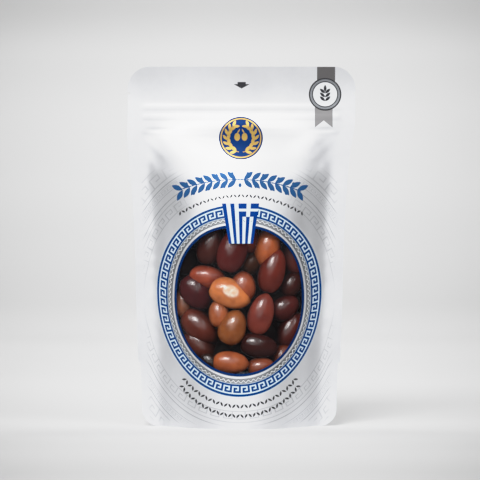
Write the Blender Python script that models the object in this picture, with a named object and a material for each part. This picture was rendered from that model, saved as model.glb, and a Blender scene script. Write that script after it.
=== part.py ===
"""A sealed stand-up pouch of olives with an oval window, standing on its bottom gusset.

Metres, +Z up. The pouch faces -Y, and its origin is at the middle of what it stands on.
"""

import math

import bmesh
import bpy
import numpy as np
from mathutils import Matrix, Vector

# Film: the flat pouch before it was filled
HALF_WIDTH = 0.065
HEIGHT = 0.205
SIDE_SEAL = 0.007
SEAL_HALF_THICKNESS = 0.0003
TOP_CORNER_RADIUS = 0.0125
BOTTOM_CORNER_RADIUS = 0.0095
GUSSET_HEIGHT = 0.037
GUSSET_TRIM = 0.0013
GUSSET_TRIM_RUN = 0.0015
CORNER_PINCH = 0.006

# Belly: how far each panel swings out of the seal plane, as (height, angle at the seal)
BELLY_ANGLES = (
    (0.000, 0.95),
    (0.020, 0.93),
    (0.040, 0.88),
    (0.072, 0.81),
    (0.100, 0.76),
    (0.126, 0.67),
    (0.145, 0.54),
    (0.156, 0.42),
    (0.164, 0.27),
    (0.170, 0.12),
    (0.176, 0.04),
    (0.184, 0.01),
    (HEIGHT, 0.01),
)

# Press zip across the header, as two ridges between the side seals
ZIP_HEIGHTS = (0.1763, 0.1820)
ZIP_RIDGE = 0.0011
ZIP_RIDGE_HALF_HEIGHT = 0.0016
ZIP_END_RUN = 0.004

# Tear notches at both edges
NOTCH_HEIGHT = 0.190
NOTCH_DEPTH = 0.0018
NOTCH_HALF_OPENING = 0.0008

# Standing edge and the gusset's panel above it
SKIRT_WALL = 0.0012
BASE_RISE = 0.0035
BASE_END_RISE = 0.007
BASE_CREST = 0.0015
SKIRT_MIN_DEPTH = 0.009

# Oval window, the pocket behind it, and its clear film
WINDOW_HEIGHT = 0.0720
WINDOW_HALF_WIDTH = 0.0357
WINDOW_UPPER_REACH = 0.0414
WINDOW_LOWER_REACH = 0.0412
WINDOW_UPPER_FULLNESS = 2.4
WINDOW_LOWER_FULLNESS = 2.03
POCKET_FLOOR = 0.002
WINDOW_FILM = 0.0005
FIT_GAP = 0.0003

# Mesh fineness
SURFACE_COLUMNS = 30
OVAL_SIDES = 56
WINDOW_RINGS = 6
OLIVE_SIDES = 10
OLIVE_RINGS = 8
CORE_SINK = 0.0095
CORE_SPREAD = 1.05

# Olives that show, from the window's middle: right, up, length, width, tilt in degrees, depth behind the film
OLIVES = (
    (-0.0050, 0.0035, 0.0235, 0.0165, -25, 0.0000),
    (-0.0035, 0.0270, 0.0260, 0.0165, 72, 0.0000),
    (0.0185, 0.0160, 0.0250, 0.0160, 68, 0.0000),
    (-0.0240, 0.0040, 0.0220, 0.0175, -50, 0.0000),
    (0.0125, -0.0070, 0.0230, 0.0150, 75, 0.0000),
    (-0.0220, -0.0145, 0.0260, 0.0170, -40, 0.0000),
    (-0.0045, -0.0340, 0.0200, 0.0135, -4, 0.0000),
    (-0.0040, -0.0155, 0.0200, 0.0160, 70, 0.0005),
    (0.0280, -0.0150, 0.0230, 0.0125, 55, 0.0010),
    (0.0110, -0.0255, 0.0220, 0.0145, -12, 0.0015),
    (-0.0150, 0.0280, 0.0220, 0.0130, 79, 0.0030),
    (0.0155, 0.0295, 0.0215, 0.0135, 75, 0.0030),
    (0.0305, 0.0230, 0.0200, 0.0120, 118, 0.0030),
    (-0.0185, 0.0150, 0.0215, 0.0125, -8, 0.0030),
    (0.0265, -0.0020, 0.0170, 0.0115, 20, 0.0030),
    (-0.0350, -0.0015, 0.0180, 0.0120, 110, 0.0030),
    (-0.0225, -0.0255, 0.0210, 0.0130, -38, 0.0030),
    (0.0130, -0.0370, 0.0150, 0.0110, 10, 0.0030),
    (0.0250, -0.0320, 0.0170, 0.0120, 60, 0.0030),
    (0.0035, 0.0100, 0.0170, 0.0140, 90, 0.0035),
    (-0.0120, -0.0085, 0.0150, 0.0100, 110, 0.0035),
    (0.0310, 0.0095, 0.0160, 0.0120, 60, 0.0040),
    (0.0100, 0.0340, 0.0180, 0.0110, 90, 0.0040),
    (-0.0160, -0.0355, 0.0140, 0.0110, -30, 0.0050),
    (-0.0285, 0.0215, 0.0190, 0.0140, 70, 0.0060),
    (0.0065, 0.0215, 0.0160, 0.0110, 60, 0.0070),
)

FILM_COLOUR = (0.86, 0.87, 0.89, 1.0)
OLIVE_COLOUR = (0.16, 0.05, 0.03, 1.0)
CLEAR_COLOUR = (0.95, 0.96, 0.97, 1.0)


def smooth_step(share):
    """Eases from 0 to 1 as the share goes from 0 to 1."""
    share = np.clip(share, 0.0, 1.0)
    return share * share * (3.0 - 2.0 * share)


def belly_angle(z):
    """The angle at the side seal, by cubic curves through BELLY_ANGLES with the slopes of their neighbours."""
    heights, angles = np.array(BELLY_ANGLES).T
    slopes = np.gradient(angles, heights)
    index = np.clip(np.searchsorted(heights, z) - 1, 0, len(heights) - 2)
    span = heights[index + 1] - heights[index]
    share = (z - heights[index]) / span
    rise = angles[index + 1] - angles[index]
    start = slopes[index] * span - rise
    end = rise - slopes[index + 1] * span
    curve = share * (1.0 - share) * (start * (1.0 - share) + end * share)
    return np.maximum(angles[index] + rise * share + curve, BELLY_ANGLES[-1][1])


def flat_half_width(z):
    """Half the film's width at a height, with its round corners and the trim beside the gusset."""
    from_top = np.clip(TOP_CORNER_RADIUS - (HEIGHT - z), 0.0, TOP_CORNER_RADIUS)
    from_bottom = np.clip(BOTTOM_CORNER_RADIUS - z, 0.0, BOTTOM_CORNER_RADIUS)
    top = TOP_CORNER_RADIUS - np.sqrt(TOP_CORNER_RADIUS**2 - from_top**2)
    bottom = BOTTOM_CORNER_RADIUS - np.sqrt(BOTTOM_CORNER_RADIUS**2 - from_bottom**2)
    trim = GUSSET_TRIM * smooth_step((GUSSET_HEIGHT - z) / GUSSET_TRIM_RUN)
    return HALF_WIDTH - top - bottom - trim


def zip_relief(u, z):
    """How far the two ridges of the zip stand out."""
    ends = smooth_step((HALF_WIDTH - SIDE_SEAL - np.abs(u)) / ZIP_END_RUN)
    ridges = sum(
        np.clip(1.0 - ((z - height) / ZIP_RIDGE_HALF_HEIGHT) ** 2, 0.0, 1.0)
        for height in ZIP_HEIGHTS
    )
    return ZIP_RIDGE * ridges * ends


def front_surface(u, z):
    """The front panel at arc length u from its middle line and height z, as x and depth out of the seal plane."""
    angle = belly_angle(z)
    belly = HALF_WIDTH - SIDE_SEAL
    radius = belly / angle
    inside = np.minimum(np.abs(u), belly)
    across = radius * np.sin(inside / radius) + np.maximum(np.abs(u) - belly, 0.0)
    swing = radius * (np.cos(inside / radius) - np.cos(angle))
    pinch = smooth_step((flat_half_width(z) - np.abs(u)) / CORNER_PINCH)
    depth = SEAL_HALF_THICKNESS + swing * pinch + zip_relief(u, z)
    return np.sign(u) * across, depth


def depth_at(x, z):
    """The front panel's depth at a place across, inside the belly."""
    angle = belly_angle(z)
    radius = (HALF_WIDTH - SIDE_SEAL) / angle
    return SEAL_HALF_THICKNESS + np.sqrt(radius**2 - x**2) - radius * np.cos(angle)


def window_oval(turn, gap=0.0, share=1.0):
    """The window's edge less a gap, at each turn about its middle: an oval, fuller above its middle."""
    cosine, sine = np.cos(turn), np.sin(turn)
    power = 2.0 / np.where(sine > 0.0, WINDOW_UPPER_FULLNESS, WINDOW_LOWER_FULLNESS)
    reach = np.where(sine > 0.0, WINDOW_UPPER_REACH, WINDOW_LOWER_REACH) - gap
    x = share * (WINDOW_HALF_WIDTH - gap) * np.sign(cosine) * np.abs(cosine) ** power
    z = WINDOW_HEIGHT + share * reach * np.sign(sine) * np.abs(sine) ** power
    return x, z


def new_object(name, points, faces, colour, roughness, alpha=1.0):
    """A mesh object with its own material, its faces turned outwards."""
    mesh = bpy.data.meshes.new(name)
    mesh.from_pydata([tuple(point) for point in points], [], [tuple(face) for face in faces])
    body = bmesh.new()
    body.from_mesh(mesh)
    bmesh.ops.remove_doubles(body, verts=body.verts, dist=1e-6)
    bmesh.ops.recalc_face_normals(body, faces=body.faces)
    body.to_mesh(mesh)
    body.free()
    mesh.shade_smooth()
    mesh.set_sharp_from_angle(angle=math.radians(40))
    made = bpy.data.objects.new(name, mesh)
    bpy.context.scene.collection.objects.link(made)
    material = bpy.data.materials.new(name)
    material.use_nodes = True
    shader = material.node_tree.nodes["Principled BSDF"]
    shader.inputs["Base Color"].default_value = colour
    shader.inputs["Roughness"].default_value = roughness
    shader.inputs["Alpha"].default_value = alpha
    mesh.materials.append(material)
    return made


def surface_rows():
    """The heights of the film's rows: close where the outline or the belly turns quickly."""
    bottom = BOTTOM_CORNER_RADIUS * (1.0 - np.cos(np.linspace(0.0, math.pi / 2, 6)))
    top = HEIGHT - TOP_CORNER_RADIUS * (1.0 - np.cos(np.linspace(math.pi / 2, 0.0, 7)))
    gusset = np.array([0.016, 0.024, 0.031, GUSSET_HEIGHT - GUSSET_TRIM_RUN, GUSSET_HEIGHT])
    belly = np.arange(0.045, 0.150, 0.0075)
    shoulder = np.array([0.153, 0.158, 0.162, 0.166, 0.1695, 0.173])
    low, high = ZIP_HEIGHTS
    half = ZIP_RIDGE_HALF_HEIGHT
    ridges = np.array([low - half, low, low + half, high - half, high, high + half])
    header = np.array([0.187])
    return np.concatenate([bottom, gusset, belly, shoulder, ridges, header, top])


def film_points():
    """Front and back panels as grids of points, rows going up and columns from left to right."""
    rows = surface_rows()
    share = np.linspace(-1.0, 1.0, SURFACE_COLUMNS + 1)
    share = np.sin(share * math.pi / 2) * 0.25 + share * 0.75
    z, t = np.meshgrid(rows, share, indexing="ij")
    x, depth = front_surface(t * flat_half_width(z), z)
    front = np.stack([x, -depth, z], axis=-1)
    back = np.stack([x, depth, z], axis=-1)
    return front, back


def grid_faces(start, rows, columns):
    """Quads between neighbouring points of a grid whose first point has this index."""
    return [
        (corner, corner + 1, corner + columns + 1, corner + columns)
        for row in range(rows - 1)
        for corner in range(start + row * columns, start + row * columns + columns - 1)
    ]


def strip(first, second):
    """Quads between two lists of point indices."""
    return [
        (first[i], first[i + 1], second[i + 1], second[i]) for i in range(len(first) - 1)
    ]


def make_pouch():
    """The bag as one closed solid: two panels, flat seals, and a skirt round a raised gusset panel."""
    front, back = film_points()
    rows, columns = front.shape[:2]
    points = [*front.reshape(-1, 3), *back.reshape(-1, 3)]
    count = rows * columns
    faces = grid_faces(0, rows, columns) + grid_faces(count, rows, columns)
    left = [row * columns for row in range(rows)]
    right = [row * columns + columns - 1 for row in range(rows)]
    faces += strip(left, [count + i for i in left])
    faces += strip(right, [count + i for i in right])
    top = [count - columns + i for i in range(columns)]
    faces += strip(top, [count + i for i in top])

    def ring_point(place, depth, height):
        points.append(np.array([place, depth, height]))
        return len(points) - 1

    hollow = [i for i in range(columns) if -front[0, i, 1] > SKIRT_MIN_DEPTH]
    reach = abs(front[0, hollow[0], 0])
    inner = {}
    for i in hollow:
        place, depth = front[0, i, 0], -front[0, i, 1] - SKIRT_WALL
        rise = BASE_RISE + BASE_END_RISE * (abs(place) / reach) ** 3
        inner[i] = [
            ring_point(place, -depth, 0.0),
            ring_point(place, -depth, rise),
            ring_point(place, 0.0, rise + BASE_CREST),
            ring_point(place, depth, rise),
            ring_point(place, depth, 0.0),
        ]
    for i in hollow[:-1]:
        faces += strip([i, *inner[i], count + i], [i + 1, *inner[i + 1], count + i + 1])
    for i, outwards in ((hollow[0], -1), (hollow[-1], 1)):
        faces.append(inner[i])
        beside = i + outwards
        faces.append((beside, i, inner[i][0], inner[i][-1], count + i, count + beside))
    for i in [*range(hollow[0] - 1), *range(hollow[-1] + 1, columns - 1)]:
        faces.append((i, i + 1, count + i + 1, count + i))
    return new_object("pouch", points, faces, FILM_COLOUR, 0.35)


def oval_prism(name, shrink, front_depth, back_depth):
    """An oval bar along Y, as wide and high as the window less a gap all round."""
    turn = np.linspace(0.0, 2 * math.pi, OVAL_SIDES, endpoint=False)
    x, z = window_oval(turn, shrink)
    near = np.stack([x, np.full_like(x, -front_depth), z], axis=-1)
    far = np.stack([x, np.full_like(x, back_depth), z], axis=-1)
    ring = list(range(OVAL_SIDES))
    faces = [ring, [i + OVAL_SIDES for i in ring]]
    faces += strip([*ring, 0], [i + OVAL_SIDES for i in [*ring, 0]])
    return new_object(name, [*near, *far], faces, FILM_COLOUR, 0.5)


def apply_boolean(target, cutter, operation):
    """Joins, cuts or trims the target with the cutter, which is then removed."""
    modifier = target.modifiers.new(operation.lower(), "BOOLEAN")
    modifier.operation = operation
    modifier.object = cutter
    graph = bpy.context.evaluated_depsgraph_get()
    result = bpy.data.meshes.new_from_object(target.evaluated_get(graph))
    target.modifiers.clear()
    target.data = result
    bpy.data.objects.remove(cutter)


def cut_notches(pouch):
    """A small V at each edge, where the header is torn off."""
    for side in (-1, 1):
        tip = side * (HALF_WIDTH - NOTCH_DEPTH)
        mouth = side * (HALF_WIDTH + NOTCH_DEPTH)
        corners = (
            (tip, NOTCH_HEIGHT),
            (mouth, NOTCH_HEIGHT - 2 * NOTCH_HALF_OPENING),
            (mouth, NOTCH_HEIGHT + 2 * NOTCH_HALF_OPENING),
        )
        points = [(x, y, z) for y in (-0.01, 0.01) for x, z in corners]
        faces = [(0, 1, 2), (3, 4, 5), *strip([0, 1, 2, 0], [3, 4, 5, 3])]
        cutter = new_object("notch", points, faces, FILM_COLOUR, 0.5)
        apply_boolean(pouch, cutter, "DIFFERENCE")


def make_window():
    """The clear film: a thin oval dome that carries the front panel's curve across the window."""
    turn = np.linspace(0.0, 2 * math.pi, OVAL_SIDES // 2, endpoint=False)
    reach = np.linspace(1.0, 0.0, WINDOW_RINGS + 1)[:-1]
    share, angle = np.meshgrid(reach, turn, indexing="ij")
    x, z = window_oval(angle, FIT_GAP, share)
    x = np.append(x, 0.0)
    z = np.append(z, WINDOW_HEIGHT)
    depth = depth_at(x, z)
    outer = np.stack([x, -depth, z], axis=-1)
    inner = np.stack([x, -depth + WINDOW_FILM, z], axis=-1)
    sides = len(turn)
    count = len(x)
    faces = []
    for start in (0, count):
        for ring in range(WINDOW_RINGS - 1):
            near = [start + ring * sides + i % sides for i in range(sides + 1)]
            faces += strip(near, [i + sides for i in near])
        last = [start + (WINDOW_RINGS - 1) * sides + i % sides for i in range(sides + 1)]
        faces += [(last[i], last[i + 1], start + count - 1) for i in range(sides)]
    rim = [i % sides for i in range(sides + 1)]
    faces += strip(rim, [count + i for i in rim])
    return new_object("window", [*outer, *inner], faces, CLEAR_COLOUR, 0.1, 0.3)


def olive_points(length, width):
    """An olive along X: a round body whose blunt end is fuller and whose other end draws to a point."""
    turn = np.linspace(0.0, 2 * math.pi, OLIVE_SIDES, endpoint=False)
    along = np.linspace(0.0, math.pi, OLIVE_RINGS + 1)[1:-1]
    ring, angle = np.meshgrid(along, turn, indexing="ij")
    fullness = 1.0 + 0.10 * np.cos(ring)
    radius = width / 2 * np.sin(ring) * fullness
    x = -length / 2 * np.cos(ring)
    body = np.stack([x, radius * np.cos(angle), radius * np.sin(angle)], axis=-1)
    ends = np.array([[-length / 2, 0.0, 0.0], [length / 2, 0.0, 0.0]])
    return np.concatenate([body.reshape(-1, 3), ends])


def make_olive(right, up, length, width, tilt, sink):
    """One olive, lying against the window's film or a little behind it."""
    points = olive_points(length, width)
    x, z = right, WINDOW_HEIGHT + up
    clearance = FIT_GAP + WINDOW_FILM + 0.0004
    depth = depth_at(x, z) - clearance - 0.55 * width - sink
    turned = Matrix.Rotation(-math.radians(tilt), 3, "Y")
    points = [turned @ Vector(point) + Vector((x, -depth, z)) for point in points]
    count = OLIVE_SIDES
    rings = OLIVE_RINGS - 1
    faces = []
    for ring in range(rings - 1):
        near = [ring * count + i % count for i in range(count + 1)]
        faces += strip(near, [i + count for i in near])
    first = [i % count for i in range(count + 1)]
    last = [(rings - 1) * count + i for i in first]
    faces += [(first[i], first[i + 1], rings * count) for i in range(count)]
    faces += [(last[i], last[i + 1], rings * count + 1) for i in range(count)]
    return new_object("olive", points, faces, OLIVE_COLOUR, 0.25)


def make_core():
    """What fills the pocket behind the olives: an oval block with a domed front."""
    turn = np.linspace(0.0, 2 * math.pi, OVAL_SIDES // 2, endpoint=False)
    sides = len(turn)
    points = []
    for share in (1.0, 0.5):
        x, z = window_oval(turn, 0.0, share * CORE_SPREAD)
        depth = depth_at(x, z) - CORE_SINK
        points += list(np.stack([x, -depth, z], axis=-1))
    points.append((0.0, CORE_SINK - depth_at(0.0, WINDOW_HEIGHT), WINDOW_HEIGHT))
    points += [(x, 2 * POCKET_FLOOR, z) for x, _, z in points[:sides]]
    rim = [i % sides for i in range(sides + 1)]
    middle = [sides + i for i in rim]
    back = [2 * sides + 1 + i for i in rim]
    faces = strip(rim, middle) + strip(rim, back)
    faces += [(middle[i], middle[i + 1], 2 * sides) for i in range(sides)]
    faces.append(back[:-1])
    return new_object("olives", points, faces, OLIVE_COLOUR, 0.25)


def make_olives():
    """The heap behind the window: its core and the olives that show, in one body cut to the pocket."""
    heap = make_core()
    group = bpy.data.collections.new("loose olives")
    bpy.context.scene.collection.children.link(group)
    for place in OLIVES:
        olive = make_olive(*place)
        bpy.context.scene.collection.objects.unlink(olive)
        group.objects.link(olive)
    modifier = heap.modifiers.new("union", "BOOLEAN")
    modifier.operation = "UNION"
    modifier.operand_type = "COLLECTION"
    modifier.collection = group
    graph = bpy.context.evaluated_depsgraph_get()
    joined = bpy.data.meshes.new_from_object(heap.evaluated_get(graph))
    heap.modifiers.clear()
    heap.data = joined
    for olive in list(group.objects):
        bpy.data.objects.remove(olive)
    bpy.data.collections.remove(group)
    pocket = oval_prism("pocket room", FIT_GAP, 0.05, POCKET_FLOOR - FIT_GAP)
    apply_boolean(heap, pocket, "INTERSECT")
    return heap


def main():
    for item in list(bpy.data.objects):
        bpy.data.objects.remove(item)
    pouch = make_pouch()
    apply_boolean(pouch, oval_prism("pocket", 0.0, 0.05, POCKET_FLOOR), "DIFFERENCE")
    cut_notches(pouch)
    make_olives()
    make_window()


main()
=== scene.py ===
"""A stand-up pouch of olives with a clear oval window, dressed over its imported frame.

Metres, +Z up. The printed front faces -Y, and the origin is at the middle of what the pouch stands on.
"""

import math

import bmesh
import bpy
import numpy as np
from bpy.props import FloatProperty, FloatVectorProperty, IntProperty, PointerProperty
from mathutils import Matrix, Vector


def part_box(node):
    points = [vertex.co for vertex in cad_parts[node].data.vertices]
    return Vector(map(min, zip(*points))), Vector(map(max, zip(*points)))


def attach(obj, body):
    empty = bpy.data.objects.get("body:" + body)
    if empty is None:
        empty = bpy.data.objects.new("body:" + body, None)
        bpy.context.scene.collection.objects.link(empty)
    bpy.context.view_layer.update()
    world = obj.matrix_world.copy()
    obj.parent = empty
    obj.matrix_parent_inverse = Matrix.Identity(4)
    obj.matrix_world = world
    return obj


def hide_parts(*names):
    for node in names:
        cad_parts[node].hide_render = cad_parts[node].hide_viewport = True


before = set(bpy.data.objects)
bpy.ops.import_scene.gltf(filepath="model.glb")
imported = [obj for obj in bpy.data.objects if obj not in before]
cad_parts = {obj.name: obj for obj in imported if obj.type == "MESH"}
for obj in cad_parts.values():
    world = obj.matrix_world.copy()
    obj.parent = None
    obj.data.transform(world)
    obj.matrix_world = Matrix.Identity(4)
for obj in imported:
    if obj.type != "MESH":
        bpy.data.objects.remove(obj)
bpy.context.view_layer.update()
POUCH_LOW, POUCH_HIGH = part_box("pouch")

bl_info = {
    "name": "Stand-up pouch of olives",
    "version": (1, 0, 0),
    "blender": (4, 5, 0),
    "location": "View3D > Sidebar > Pouch",
    "description": "Builds the film, print, window and olives of a stand-up pouch over its frame",
    "category": "Object",
}

# Film: the flat pouch before it was filled
HALF_WIDTH = (POUCH_HIGH[0] - POUCH_LOW[0]) / 2
HEIGHT = POUCH_HIGH[2] - POUCH_LOW[2]
SIDE_SEAL = 0.007
BELLY = HALF_WIDTH - SIDE_SEAL
SEAL_HALF_THICKNESS = 0.0003
TOP_CORNER_RADIUS = 0.0125
BOTTOM_CORNER_RADIUS = 0.0095
CORNER_PINCH = 0.006
NOTCH_HEIGHT = 0.190
NOTCH_DEPTH = 0.0018
NOTCH_HALF_OPENING = 0.0008
CLOSEST_ROWS = 0.00012
FILM_BUMP = 0.00025
FRONT, BACK = -1.0, 1.0

# Gusset: the folded panel between the skirts of the front and the back
GUSSET_HEIGHT = 0.037
GUSSET_LOW = 0.0045
GUSSET_TRIM = 0.0013
GUSSET_TRIM_RUN = 0.0015
GUSSET_INSET = 0.0008
GUSSET_ARCH = 0.0035
GUSSET_THICKNESS = 0.0002

# How softly the panels leave the side seals, and more softly at the foot of the front
SEAL_EASE = 0.0155
FOOT_EASE = 0.0075
FOOT_TOP = 0.085
FOOT_RUN = 0.04
BACK_EASE = 0.0040

# Low bulges at the upper corners of the filled part, as places and reaches across and up
SHOULDER_BULGE = 0.0012
SHOULDER_PLACE = (0.0465, 0.1410)
SHOULDER_REACH = (0.0095, 0.0100)
SHOULDER_SEAL_RUN = 0.009

# The header leans to the right from the shoulders up, and its top curls forward
HEADER_SHIFT = 0.0013
HEADER_SHIFT_START = 0.155
HEADER_SHIFT_RUN = 0.025
HEADER_CURL = 0.0016
HEADER_CURL_START = 0.184
HEADER_CURL_RUN = 0.021

# How far each panel swings out of the seal plane, as (height, angle at the seal)
BELLY_ANGLES = np.array(
    (
        (0.000, 0.95),
        (0.020, 0.93),
        (0.040, 0.88),
        (0.072, 0.81),
        (0.100, 0.76),
        (0.126, 0.67),
        (0.145, 0.54),
        (0.156, 0.42),
        (0.164, 0.27),
        (0.170, 0.12),
        (0.176, 0.04),
        (0.184, 0.01),
        (0.205, 0.01),
    )
)

# Press zip, as two ridges across the header on a band that stands out
ZIP_HEIGHTS = (0.1763, 0.1820)
ZIP_RIDGE = 0.00011
ZIP_RIDGE_HALF_HEIGHT = 0.0020
ZIP_STEP = 0.00017
ZIP_STEP_HEIGHT = 0.1662
ZIP_STEP_RUN = 0.0018
ZIP_BAND_TOP = 0.188
ZIP_BAND_RUN = 0.012
ZIP_END_RUN = 0.004
ZIP_ROW_STEP = 0.0004

# Folds from the zip's ends down and inwards, and a dent under the zip: strength, both ends and half width
FOLDS = (
    (0.35, (0.0555, 0.1650), (0.0385, 0.1480), 0.0020),
    (0.20, (0.0560, 0.1560), (0.0440, 0.1400), 0.0022),
)
DENT = (1.1, (0.0590, 0.1690), (0.0330, 0.1686), 0.0010)

# Ovals round the window, as (middle height, half width, upper and lower reach, upper and lower fullness)
WINDOW_OVAL = (0.0720, 0.0357, 0.0414, 0.0412, 2.4, 2.03)
RING_OVAL = (0.0769, 0.0469, 0.0490, 0.0586, 2.15, 2.02)

# Bands of the ring, as shares of the way from the window's edge to the ring's outer edge
NAVY_BAND = (-0.02, 0.10)
SILVER_BAND = (0.20, 0.43)
KEY_BAND = (0.45, 1.0)

# One unit of the Greek key: rows from the inner edge outwards, columns counterclockwise, 1 where it is inked
KEY_UNIT = np.array(
    (
        (1, 1, 1, 1, 1),
        (0, 0, 0, 0, 1),
        (0, 1, 1, 0, 1),
        (0, 1, 0, 0, 1),
        (0, 1, 1, 1, 1),
        (0, 0, 0, 0, 0),
        (1, 1, 1, 1, 1),
    ),
    dtype=bool,
)

# Widths of the key's rows and columns beside each other, the inked ones wider
KEY_ROWS = (1.1, 0.8, 1.1, 0.8, 1.1, 0.8, 1.35)
KEY_COLUMNS = (0.85, 1.15, 0.95, 0.85, 1.2)

# Olives that show, from the window's middle: right, up, length, width, tilt in degrees and depth behind the
# film, and then the colour of the skin as it looks in daylight
OLIVES = np.array(
    (
        (-0.0055, 0.0036, 0.0240, 0.0162, -22, 0.0000, 200, 120, 70),
        (-0.0032, 0.0285, 0.0272, 0.0168, 72, 0.0000, 84, 32, 30),
        (0.0189, 0.0163, 0.0254, 0.0152, 75, 0.0000, 99, 37, 27),
        (-0.0244, 0.0042, 0.0222, 0.0166, -52, 0.0005, 70, 25, 26),
        (0.0125, -0.0080, 0.0236, 0.0142, 75, 0.0000, 116, 52, 42),
        (-0.0220, -0.0154, 0.0250, 0.0164, -41, 0.0005, 94, 42, 30),
        (-0.0049, -0.0352, 0.0200, 0.0132, -4, 0.0000, 158, 84, 48),
        (-0.0038, -0.0154, 0.0200, 0.0158, 70, 0.0005, 134, 78, 42),
        (0.0287, -0.0176, 0.0230, 0.0150, 62, 0.0010, 82, 34, 29),
        (0.0110, -0.0258, 0.0214, 0.0144, -12, 0.0015, 50, 20, 17),
        (-0.0160, 0.0312, 0.0240, 0.0152, 75, 0.0030, 64, 28, 22),
        (0.0158, 0.0298, 0.0226, 0.0154, 78, 0.0025, 166, 88, 50),
        (0.0302, 0.0240, 0.0226, 0.0168, 112, 0.0030, 112, 50, 42),
        (-0.0180, 0.0126, 0.0212, 0.0136, -8, 0.0025, 150, 70, 48),
        (0.0257, -0.0042, 0.0180, 0.0146, 30, 0.0025, 76, 32, 29),
        (-0.0316, -0.0024, 0.0180, 0.0120, 110, 0.0030, 136, 84, 60),
        (-0.0216, -0.0262, 0.0236, 0.0156, -38, 0.0025, 88, 42, 32),
        (0.0122, -0.0380, 0.0156, 0.0116, 8, 0.0030, 140, 72, 48),
        (0.0245, -0.0322, 0.0165, 0.0126, 60, 0.0030, 116, 56, 38),
        (0.0024, 0.0078, 0.0168, 0.0142, 90, 0.0030, 156, 80, 52),
        (-0.0113, -0.0078, 0.0156, 0.0116, 100, 0.0030, 166, 94, 58),
        (0.0296, 0.0088, 0.0176, 0.0130, 50, 0.0035, 66, 28, 22),
        (0.0060, 0.0352, 0.0180, 0.0116, 85, 0.0040, 96, 40, 30),
        (-0.0160, -0.0355, 0.0150, 0.0110, -30, 0.0050, 50, 28, 22),
        (-0.0285, 0.0215, 0.0200, 0.0150, 70, 0.0060, 42, 15, 12),
        (0.0074, 0.0212, 0.0160, 0.0110, 60, 0.0065, 74, 40, 22),
    )
)
OLIVE_CLEARANCE = 0.0009
OLIVE_FULLNESS = 0.10
OLIVE_ROUNDNESS = 0.84
OLIVE_DIMPLE = 0.045
OLIVE_TIP = 0.026
OLIVE_AROUND = 56
OLIVE_ALONG = 44
# Painted highlight: the direction halfway between the view and the key light; the olives' coat is laid only
# on skin that faces it
HIGHLIGHT_SIDE = (-0.11, -0.93, 0.35)

# Scar on the first olive, from the window's middle: right, up, tilt in degrees, half length and half width
SCAR = (-0.0047, 0.0053, -20.0, 0.0042, 0.0030)

# Deeper olives: how far a place may move, the ranges of length, width, tilt and depth, and their colour,
# darker than the olives in front as painted shade deep in the heap
DEEP_MOVE = 0.0015
DEEP_RANGES = ((0.018, 0.021), (0.012, 0.014), (0.0, 180.0), (0.0080, 0.0095))
DEEP_SHADE_TONE = (28, 12, 10)

# Depths behind the film where olives get painted shade, turn duller and lose their painted highlight, each as
# its start and its run; then how far the painted shade darkens at most
PAINTED_SHADE_DEPTHS = (0.0035, 0.0080)
DULLER = (0.0070, 0.0070)
HIGHLIGHT_FADE_DEPTHS = (0.0050, 0.0035)
PAINTED_SHADE_MOST = 0.93

# Core, a dark block behind the olives that is painted shade for the gaps: how far its dome lies behind the
# film, where its back is, how thin it may get, its gap to the window's edge, its steps, and its share of the
# deep olives' colour
CORE_SINK = 0.0125
CORE_BACK = 0.0015
CORE_LEAST_DEPTH = 0.0005
CORE_GAP = 0.0004
CORE_RINGS = 12
CORE_AROUND = 64
CORE_SHADE = 0.3

# Clear film: how far it lies behind the front, how far it runs under its edge, its thickness and its steps
CLEAR_SINK = 0.0003
CLEAR_MARGIN = 0.0006
CLEAR_THICKNESS = 0.00012
CLEAR_RINGS = 24
CLEAR_AROUND = 96

# Print: the thickness of a layer and of the pale one, the steps of a plain band, and points that are joined
INK_THICKNESS = 0.00004
PALE_INK_THICKNESS = 0.00002
BAND_COLUMNS = 360
JOIN = 1e-7

# What every colour setting shares
RGBA = {"size": 4, "min": 0, "max": 1}


class FilmSettings(bpy.types.PropertyGroup):
    """The bag's film."""

    thickness: FloatProperty(
        name="Film thickness", description="Thickness of one layer of film",
        default=0.00028, unit="LENGTH", precision=5,
    )
    crease_height: FloatProperty(
        name="Crease height", description="How far the folds of the film stand out",
        default=0.00025, unit="LENGTH", precision=5,
    )
    colour: FloatVectorProperty(
        name="Film colour", description="White of the film",
        default=(0.86, 0.87, 0.90, 1.0), subtype="COLOR", **RGBA,
    )
    roughness: FloatProperty(
        name="Roughness", description="How satin the film is", default=0.38, subtype="FACTOR", min=0, max=1
    )
    metallic: FloatProperty(
        name="Pearl", description="How far the film shines like metal",
        default=0.75, subtype="FACTOR", min=0, max=1,
    )


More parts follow.
